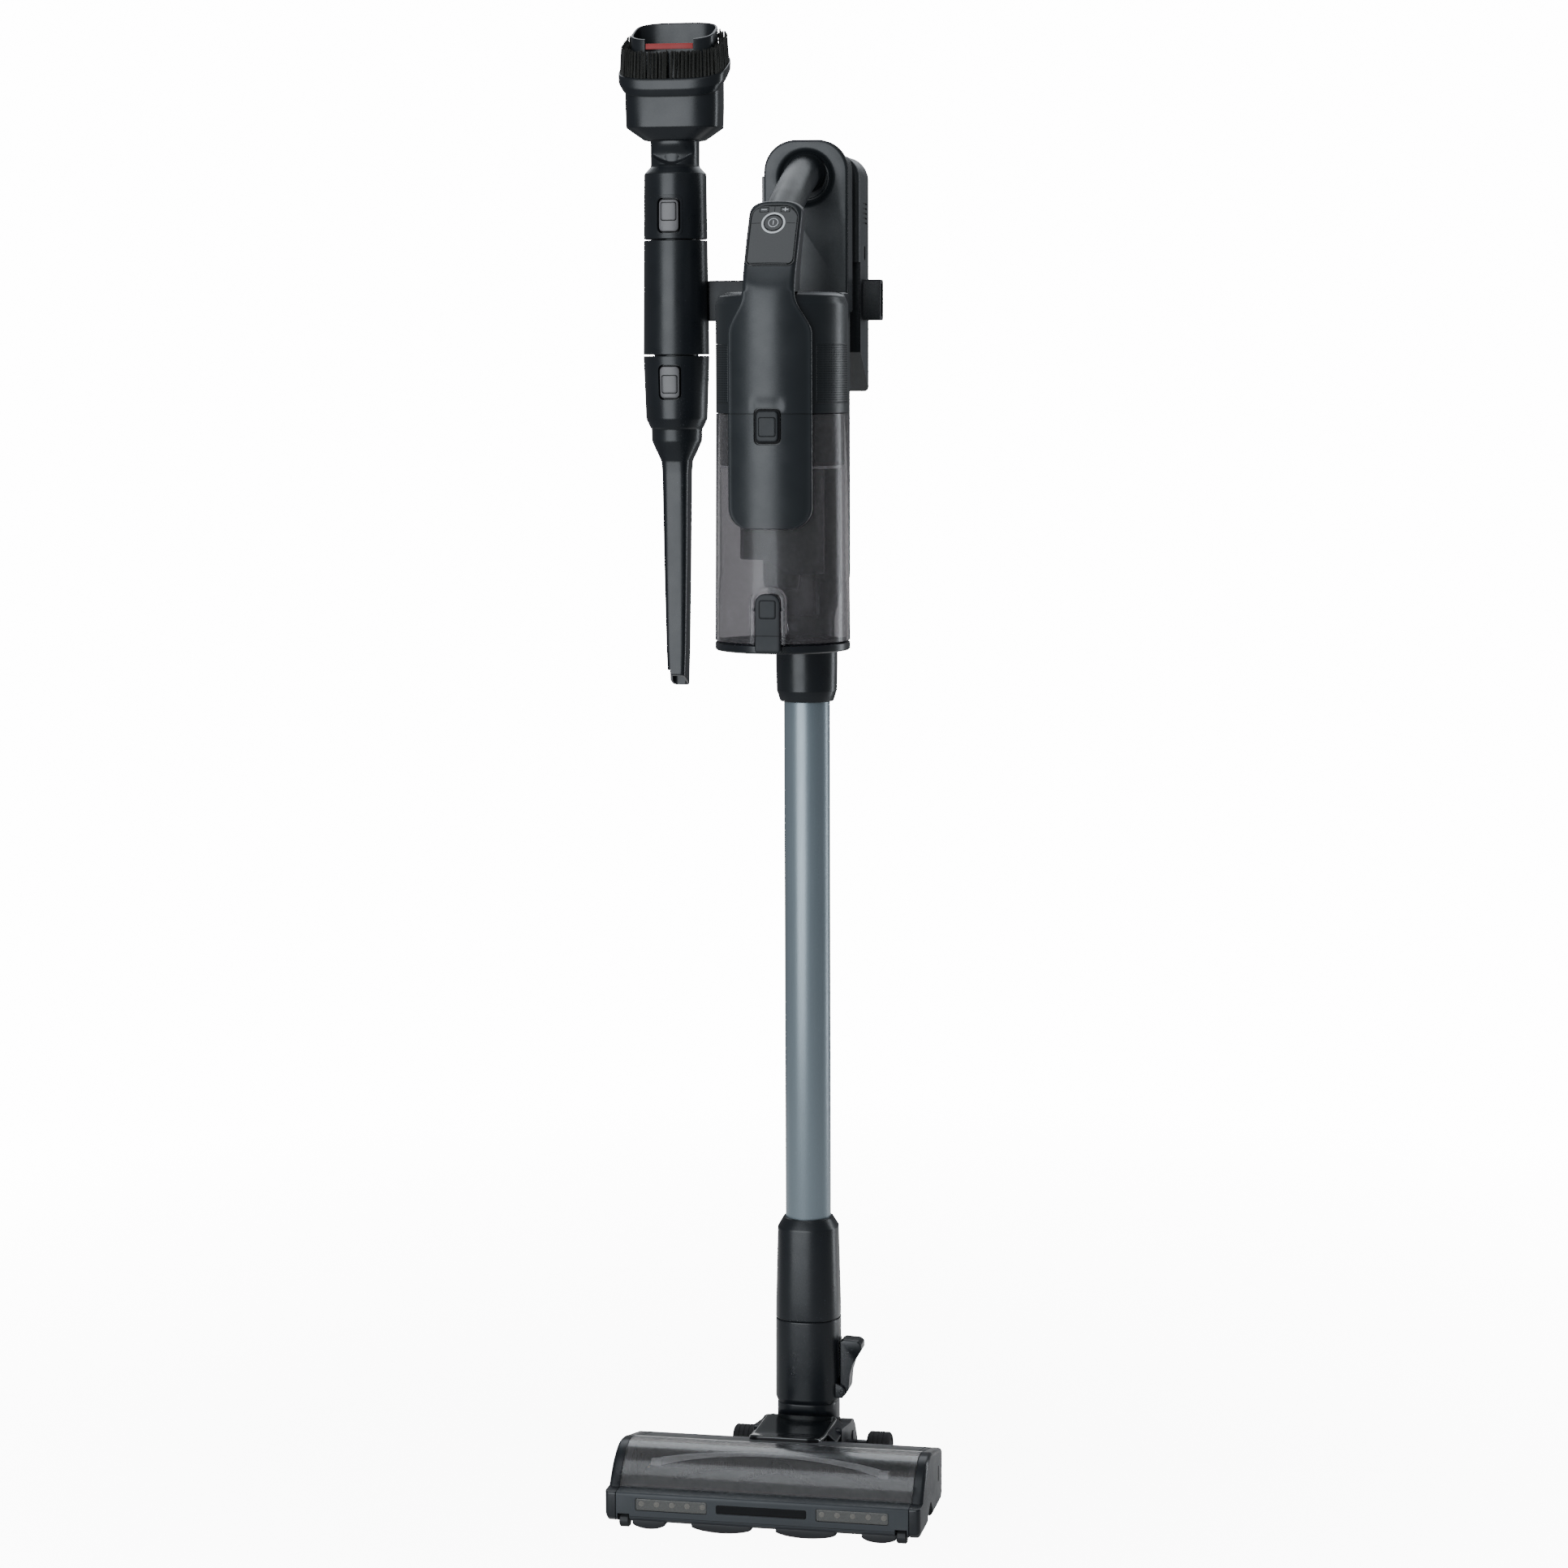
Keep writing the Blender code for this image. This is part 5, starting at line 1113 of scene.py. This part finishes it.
def rear_wheels():
    """Two tyres with three grooves each, the same on both faces."""
    outer = [(2.8, 9.6, 0.5), (7.2, 9.6, 0.3), (7.6, 9.0, 0.3), (9.4, 9.0, 0.3), (9.8, 10.0, 0.5)]
    outer += [(12.2, 10.0, 1.0), (14.0, 8.0, 1.0)]
    tread = []
    for z in (4.2, 0.0, -4.2):
        tread += [(14.0, z + 0.5, 0.15), (13.4, z + 0.35, 0.1), (13.4, z - 0.35, 0.1), (14.0, z - 0.5, 0.15)]
    tyre = outer + tread + [(r, -z, corner) for r, z, corner in reversed(outer)]
    for side, name in ((-1, "left"), (1, "right")):
        middle = (side * 59.0, *REAR_AXLE[1:])
        bm = shape(spin_along, soften(tyre, 0.5, 3), middle, "x", 64)
        piece("wheel_" + name, bm, RUBBER, "rear_" + name, "rear_wheel_" + name)


def head_curve(count):
    """The head's curved front, from the deck down to the bumper, as (y, z)."""
    points = [(-129.9, 54.9), (-138.0, 56.6), (-150.0, 57.0), (-161.0, 53.6), (-171.5, 46.4), (-180.5, 37.0)]
    return smooth_path(points + [(-186.8, 28.3)], count)


def side_cap(side, name):
    """An end cap with a crowned outer face, an arched recess low at the front and a slot."""
    outline = [(-90.0, 3.0), (-87.3, 6.0), (-87.3, 46.0), (-122.0, 53.2, 0)]
    outline += [(p.x, p.y, 0) for p in head_curve(30)]
    outline += [(-187.0, 28.0, 0.3), (HEAD_FRONT, 28.0), (HEAD_FRONT, 7.0), (-196.0, 3.0)]
    outline = soften(outline, 2.0, 4)
    rims = [(121.5, 0.4), (121.9, 0.0), (127.2, 0.0)]
    rims += [(127.2 + 3.5 * math.sin(t), 4.2 * (1 - math.cos(t))) for t in (0.35, 0.7, 1.05, 1.3, 1.5)]
    bm = shape(skin, [[(side * x, y, z) for y, z in scaled(outline, inset)] for x, inset in rims])
    arch = [(-161.5, -5, 0), (-161.0, 9.0, 6), (-148.5, 20.5, 7), (-137.0, 9.0, 6), (-136.5, -5, 0)]
    bm = cut(bm, slab, soften(arch, 4.0, 6), "yz", *span(side, 125.6, 136))
    slot = (-109.0, 30.5)
    bm = cut(bm, slab, moved(rounded_rect(1.5, -6.6, 6.6, 1.2), *slot), "yz", *span(side, 128.6, 136))
    # A deep black sheet at the slot's floor: painted shade inside the slot.
    paint(slab(bm, moved(rounded_rect(1.45, -6.5, 6.5, 1.1), *slot), "yz", *span(side, 128.5, 128.8)), 1)
    bm = cut(bm, spin_along, rod(6.3, *span(side, 116.5, 124.5)), ROLL_AXIS, "x", 40)
    piece("cap_" + name, bm, (SATIN, DEEP), "head", "side_cap_" + name)


def deck_face(u, v, h):
    """The sloping top of the deck, with u across and v to the back."""
    return (u, v, 46.0 + 7.2 * (-87.4 - v) / 34.6 + h)


def deck_and_window():
    outline = [(-87.4, 43.6), (-87.4, 46.0, 1.2), (-122.0, 53.2, 6), (-129.5, 54.8), (-129.5, 50.6)]
    bm = shape(slab, soften(outline, 0.5), "yz", -HEAD_HALF, HEAD_HALF, 0.3)
    for x in (-117.0, 117.0):
        groove = box_outline(x - 0.3, x + 0.3, -127.0, -90.0)
        paint(layers(bm, groove, deck_face, -0.5, 0.04), 1)
    piece("deck", bm, (DECK, DEEP), "head", "head_deck")
    curve = head_curve(48)
    outline = [tuple(p) for p in curve + beside(curve, 2.4)[::-1]]
    piece("window", shape(slab, outline, "yz", -HEAD_HALF, HEAD_HALF), WINDOW, "head", "brush_window")
    bm = bmesh.new()
    inner, deep = beside(curve, 3.0), beside(curve, 4.6)
    band = [tuple(p) for p in inner + deep[::-1]]
    for side in (-1, 1):
        slab(bm, band, "yz", *span(side, HEAD_HALF - 0.2, HEAD_HALF - 5.5))
        spin_along(bm, rod(16.5, *span(side, 119.0, 121.0), 0.5), ROLL_AXIS, "x", 48)
    rail = [tuple(p) for p in inner[40:] + beside(curve, 9.0)[40:][::-1]]
    slab(bm, rail, "yz", -HEAD_HALF + 0.3, HEAD_HALF - 0.3)
    piece("window_frame", bm, MATT, "head")


def hair_comb():
    """A bowed fin under the window that combs hair off the roll."""
    curve = beside(head_curve(200), 3.3)
    loops = []
    for k in range(61):
        x = -92.0 + 184.0 * k / 60
        bow = (x / 92.0) ** 2
        y = -154.0 - 10.5 * bow
        top = min(curve, key=lambda p: abs(p.x - y)).y
        bottom = top - 3.0 - 3.4 * bow
        section = soften([(y - 1.3, bottom), (y - 1.0, top - 0.4), (y + 0.9, top), (y + 1.3, bottom)], 0.5, 3)
        loops.append([(x, v, w) for v, w in section])
    bm = shape(skin, loops)
    for side in (-1, 1):
        block(bm, (side * 95 - 4.5, -167.5, 41.0), (side * 95 + 4.5, -161.5, 46.5), 0.8)
    piece("comb", bm, COMB, "head", "hair_comb")


def lip_outline(width):
    """A half-round pad that hangs under the bumper."""
    foot = [2 * k / 20 - 1 for k in range(21)]
    curve = [(width / 2 * t, 1.2 - 4.2 * math.sin(math.pi * (t + 1) / 2) ** 0.6) for t in foot]
    return [(width / 2, 5.0), (-width / 2, 5.0)] + curve


def bumper():
    """The front bumper, with two light windows, a dark insert, lip pads and room for the front rollers."""
    outline = [(HEAD_FRONT, 7.0, 2), (-196.0, 3.0, 1.5), (-184.0, 3.0), (-184.0, 6.0), (-194.0, 6.5)]
    outline += [(-196.5, 9.0), (-196.5, 25.4), (-184.0, 25.4), (-184.0, 28.0, 0.4), (HEAD_FRONT, 28.0, 2.2)]
    bm = shape(slab, soften(outline, 0.8, 4), "yz", -HEAD_HALF, HEAD_HALF, 0.3)
    face = front_face(HEAD_FRONT, 18.6)
    for side in (-1, 1):
        bm = cut(bm, block, (side * 115 - 5, -205, -5), (side * 115 + 5, -186, 10.3))
        bm = sink(bm, moved(rounded_rect(29.9, -5.2, 5.2, 1.5), side * LIGHT_X, 0.0), face, 3.6)
    bm = sink(bm, rounded_rect(37.5, -4.3, 3.4, 1.6), face, 0.9)
    for x in [side * LIGHT_X + 12.8 * k for side in (-1, 1) for k in range(-2, 3)]:
        paint(key(bm, disc(2.3, 32), front_face(-197.4, 18.4, x), -0.4, 1.0, 0.5, 5, 0.4), 1)
    paint(key(bm, rounded_rect(37.1, -3.9, 3.0, 1.3), face, -1.2, -0.45, 0.2), 2)
    for x, width in ((-94.5, 28.0), (-34.0, 50.0), (36.0, 50.0), (96.5, 29.0)):
        paint(slab(bm, moved(lip_outline(width), x, 0.0), "xz", -197.6, -186.0, 1.2), 3)
    line = box_outline(-HEAD_HALF + 1, HEAD_HALF - 1, -0.15, 0.15)
    paint(layers(bm, line, front_face(HEAD_FRONT, 8.4), -0.4, 0.05), 2)
    piece("bumper", bm, (BUMPER, LED, DEEP, MATT), "head", "front_bumper")
    for side, name in ((-1, "left"), (1, "right")):
        face = front_face(HEAD_FRONT, 18.6, side * LIGHT_X)
        pane = shape(key, rounded_rect(29.5, -4.8, 4.8, 1.3), face, -1.5, -0.15, 0.3)
        piece("lens_" + name, pane, LENS, "head", "light_window_" + name)


def on_roll(x, radius, angle):
    return (x, ROLL_AXIS[1] + radius * math.cos(angle), ROLL_AXIS[2] + radius * math.sin(angle))


def twist(x, row):
    """The angle of a row of bristle, which turns the other way on each side of the middle."""
    return math.radians(1.7 * abs(x - 6.0) + 90 * row)


def brush_roll():
    """A core with four twisted rows of bristle, and a bare drive end on the left for the belt."""
    core = [(0.0, -124.0), (6.0, -124.0), (6.0, -116.0, 0), (9.0, -116.0), (9.0, -104.4, 0), (15.2, -104.0)]
    core += [(15.2, 116.0), (6.0, 116.4, 0), (6.0, 124.0), (0.0, 124.0)]
    bm = shape(spin_along, soften(core, 0.5, 3, closed=False), ROLL_AXIS, "x", 64)
    hairs = bmesh.new()
    dice = random.Random(9)
    for row in range(4):
        for k in range(118):
            x = -102.5 + 217.0 * k / 117
            for _ in range(4):
                place = x + dice.uniform(-0.9, 0.9)
                angle = twist(x, row) + dice.uniform(-0.055, 0.055)
                tip_angle = angle + dice.uniform(-0.03, 0.03)
                reach = 20.9 - dice.uniform(0.0, 0.5)
                tip = on_roll(place + dice.uniform(-0.3, 0.3), reach, tip_angle)
                strand(hairs, on_roll(place, 14.6, angle), tip, dice.uniform(0.34, 0.46))
    for row in range(4):
        for k in range(55):
            loops = []
            for x in (-103.0 + 4.0 * k, -99.4 + 4.0 * k):
                section = ((14.8, -0.13), (16.4, -0.07), (16.4, 0.07), (14.8, 0.13))
                loops.append([on_roll(x, r, twist(x, row) + turn) for r, turn in section])
            skin(bm, loops)
    piece("roll_core", bm, MATT, "roll", "brush_roll")
    piece("roll_bristles", hairs, BRISTLE, "roll")


# ---------------------------------------------------------------- dock


def dock_back():
    """The wall plate, with pockets between ribs on the wall side and two screw holes."""
    outline = moved(rounded_rect(35.0, -92.0, 92.0, 12.0, 12.0, 12), 0.0, DOCK_MIDDLE)
    bm = shape(slab, outline, "xz", 81.0, 85.0, 0.9)
    for row in range(5):
        z = DOCK_MIDDLE + 33.0 * (row - 2)
        for x in (-20.5, 20.5):
            bm = cut(bm, slab, moved(rounded_rect(9.0, -13.0, 13.0, 2.0), x, z), "xz", 83.2, 90.0)
    for z in (DOCK_MIDDLE - 65.0, DOCK_MIDDLE + 65.0):
        for radius, depth in ((2.6, -76.0), (5.0, -83.6)):
            bm = cut(bm, spin_along, rod(radius, -90.0, depth), (0.0, 0.0, z), "y", 32)
    piece("wall_plate", bm, MATT, "dock", "dock_back_plate")


def dock_front():
    """The dock's shell, hollow behind, with the nose of the charger and the tongue that holds the vacuum."""
    outline = rounded_rect(39.0, 918.5, 1116.0, 4.0, 20.0, 14)
    bm = shape(slab, outline, "xz", 34.0, 80.7, 3.0, 6)
    bm = cut(bm, block, (-50, 20, 900), (50, 39, 1027))
    bm = cut(bm, slab, [(27, 962), (27, 905), (84, 905), (84, 914)], "yz", -50.0, 50.0)
    bm = cut(bm, slab, rounded_rect(36.0, 960.0, 1112.0, 3.0, 17.0, 10), "xz", 43.0, 95.0)
    bm = join(bm, block, (-16, 26.5, 1035), (16, 40, 1075), 2.0)
    for x in (-8.0, 8.0):
        bm = cut(bm, block, (x - 2.8, 24, 1046.7), (x + 2.8, 30.3, 1063.3))
    tongue = [(50, 960), (30, 960), (30, 982), (27, 982), (26, 979), (26, 950), (50, 950)]
    bm = join(bm, slab, soften(tongue, 0.6), "yz", -14.0, 14.0, 0.6)
    bm = join(bm, slab, moved(rounded_rect(8.0, -17.2, 17.2, 2.2), 58.0, 995.7), "yz", 37.0, 54.0, 1.0)
    bm = cut(bm, slab, moved(rounded_rect(4.6, -13.8, 13.8, 1.2), 58.0, 995.7), "yz", 45.0, 60.0)
    bm = cut(bm, slab, moved(rounded_rect(2.6, -6.0, 6.0, 2.5), 60.0, 1035.0), "yz", 33.0, 45.0)
    for z in (1060.0, 1064.0, 1068.0, 1072.0, 1076.0):
        bm = cut(bm, slab, moved(rounded_rect(9.0, -0.7, 0.7, 0.6, steps=3), 60.0, z), "yz", 38.2, 45.0)
    piece("dock_cover", bm, GRAPHITE, "dock", "dock_shell")


# ---------------------------------------------------------------- CAD nodes that show as they are

NODE_LOOKS = {
    MATT: "tool_arm head_chassis cyclone_cone front_roller_left front_roller_right",
    SATIN: "battery_pack",
    KEY_LIGHT: "battery_button",
    RUBBER: "lid_seal drive_belt",
    FOAM: "exhaust_filter pre_motor_filter",
    BRASS: "charge_contact_left charge_contact_right motor_pulley",
    STEEL: "suction_motor impeller lid_hinge_pin rear_axle brush_motor",
}
ROUNDED = {"tool_arm": 0.8, "head_chassis": 0.3}


def dress_nodes():
    """Gives each CAD node that shows its material and smooth shading, and those in ROUNDED a small rounding
    of their edges.
    """
    for look, names in NODE_LOOKS.items():
        for name in names.split():
            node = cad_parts[name]
            node.data.materials.clear()
            node.data.materials.append(look)
            node.data.shade_smooth()
            node.data.set_sharp_from_angle(angle=math.radians(32.0))
            if name in ROUNDED:
                round_node(node, ROUNDED[name] * 0.001)


def round_node(node, width):
    weld = node.modifiers.new("Weld", "WELD")
    weld.merge_threshold = 0.00001
    flat = node.modifiers.new("Flat", "DECIMATE")
    flat.decimate_type = "DISSOLVE"
    flat.angle_limit = math.radians(2.0)
    bevel = node.modifiers.new("Bevel", "BEVEL")
    bevel.width, bevel.segments = width, 4
    bevel.limit_method = "ANGLE"
    bevel.angle_limit = math.radians(30.0)
    bevel.use_clamp_overlap = True


# ---------------------------------------------------------------- floor, light and camera


SKY = (0.90, 0.95, 1.0)  # colour of the light


def area_light(name, position, target, size, power):
    light = bpy.data.lights.new(name, "AREA")
    light.shape = "RECTANGLE"
    light.size, light.size_y = size
    light.energy = power
    light.color = SKY
    obj = new_object(name, light)
    obj.location = at(position)
    obj.rotation_euler = (at(target) - obj.location).to_track_quat("-Z", "Y").to_euler()
    obj.visible_camera = False


def white_world():
    """White behind the object, softer through its clear parts and dim in reflections."""
    world = bpy.data.worlds.new("studio")
    bpy.context.scene.world = world
    world.use_nodes = True
    tree = world.node_tree
    rays = tree.nodes.new("ShaderNodeLightPath")
    light = tree.nodes["Background"]
    light.inputs["Color"].default_value = (*SKY, 1.0)
    light.inputs["Strength"].default_value = 0.17
    for seen_by, strength in (("Is Transmission Ray", 0.6), ("Is Camera Ray", 15.0)):
        white = tree.nodes.new("ShaderNodeBackground")
        white.inputs["Color"].default_value = (1.0, 1.0, 1.0, 1.0)
        white.inputs["Strength"].default_value = strength
        mix = tree.nodes.new("ShaderNodeMixShader")
        tree.links.new(rays.outputs[seen_by], mix.inputs[0])
        tree.links.new(light.outputs[0], mix.inputs[1])
        tree.links.new(white.outputs[0], mix.inputs[2])
        light = mix
    tree.links.new(light.outputs[0], tree.nodes["World Output"].inputs[0])


def floor():
    """A pale floor that fades out before its edge, so no horizon shows, and glows more behind the vacuum than
    in front: painted light.
    """
    bm = bmesh.new()
    bmesh.ops.create_circle(bm, cap_ends=True, segments=96, radius=1900.0)
    for v in bm.verts:
        v.co = at((v.co.x, v.co.y - 60.0, -3.4))
    mesh = bpy.data.meshes.new("studio_floor")
    bm.to_mesh(mesh)
    bm.free()
    obj = new_object("studio_floor", mesh)
    made = Shader("pale_floor", (0.9, 0.9, 0.9), 0.6)
    made.vary_roughness(made.noise(30.0, 3.0), 0.05)
    # The glow rises with y towards the wall: painted light that whitens the floor and shines back from the
    # head's deck.
    made.set("Emission Color", (1.0, 1.0, 1.0, 1.0))
    split = made.node("ShaderNodeSeparateXYZ")
    made.link(made.place, split.inputs[0])
    made.link(made.ranged(split.outputs["Y"], 0.5, 2.2, 0.0, 0.35), made.shader.inputs["Emission Strength"])
    gradient = made.node("ShaderNodeVectorMath", operation="LENGTH")
    made.link(made.place, gradient.inputs[0])
    fade = made.ranged(gradient.outputs["Value"], 0.4, 0.0, 0.9, 1.8)
    made.link(fade, made.shader.inputs["Alpha"])
    mesh.materials.append(made.material)


def studio():
    white_world()
    floor()
    middle = (0.0, -40.0, 620.0)
    area_light("key_light", (-850.0, -2450.0, 900.0), middle, (2.0, 2.4), 58.0)
    area_light("rim_light", (1750.0, 1350.0, 800.0), middle, (0.4, 2.4), 16.0)
    area_light("front_top_light", (-300.0, -1150.0, 2700.0), middle, (1.8, 0.9), 8.0)
    area_light("back_top_light", (-350.0, 1750.0, 2200.0), (0.0, -140.0, 60.0), (2.6, 1.5), 24.0)


def camera():
    data = bpy.data.cameras.new("camera")
    data.lens = 85.0
    data.sensor_width = 36.0
    data.clip_end = 50.0
    obj = new_object("camera", data)
    turn, pitch, roll = math.radians(11.601), math.radians(6.658), math.radians(-0.202)
    obj.location = at((605.96, -3049.12, 952.39))
    tilt = Matrix.Rotation(math.pi / 2 - pitch, 4, "X") @ Matrix.Rotation(roll, 4, "Z")
    obj.rotation_euler = (Matrix.Rotation(turn, 4, "Z") @ tilt).to_euler()
    bpy.context.scene.camera = obj


def build():
    brush_body()
    brush_sleeve()
    brush_bristles()
    crevice_tool()
    tool_holder()
    rear_spine()
    handle_grip()
    front_body()
    control_panel()
    panel_keys()
    motor_housing()
    cyclone()
    dust_cup()
    cup_lid()
    lid_latch()
    wand()
    neck()
    pedal()
    knuckle()
    yoke()
    rear_wheels()
    side_cap(-1, "left")
    side_cap(1, "right")
    deck_and_window()
    hair_comb()
    bumper()
    brush_roll()
    dock_back()
    dock_front()
    dress_nodes()
    studio()
    camera()


build()
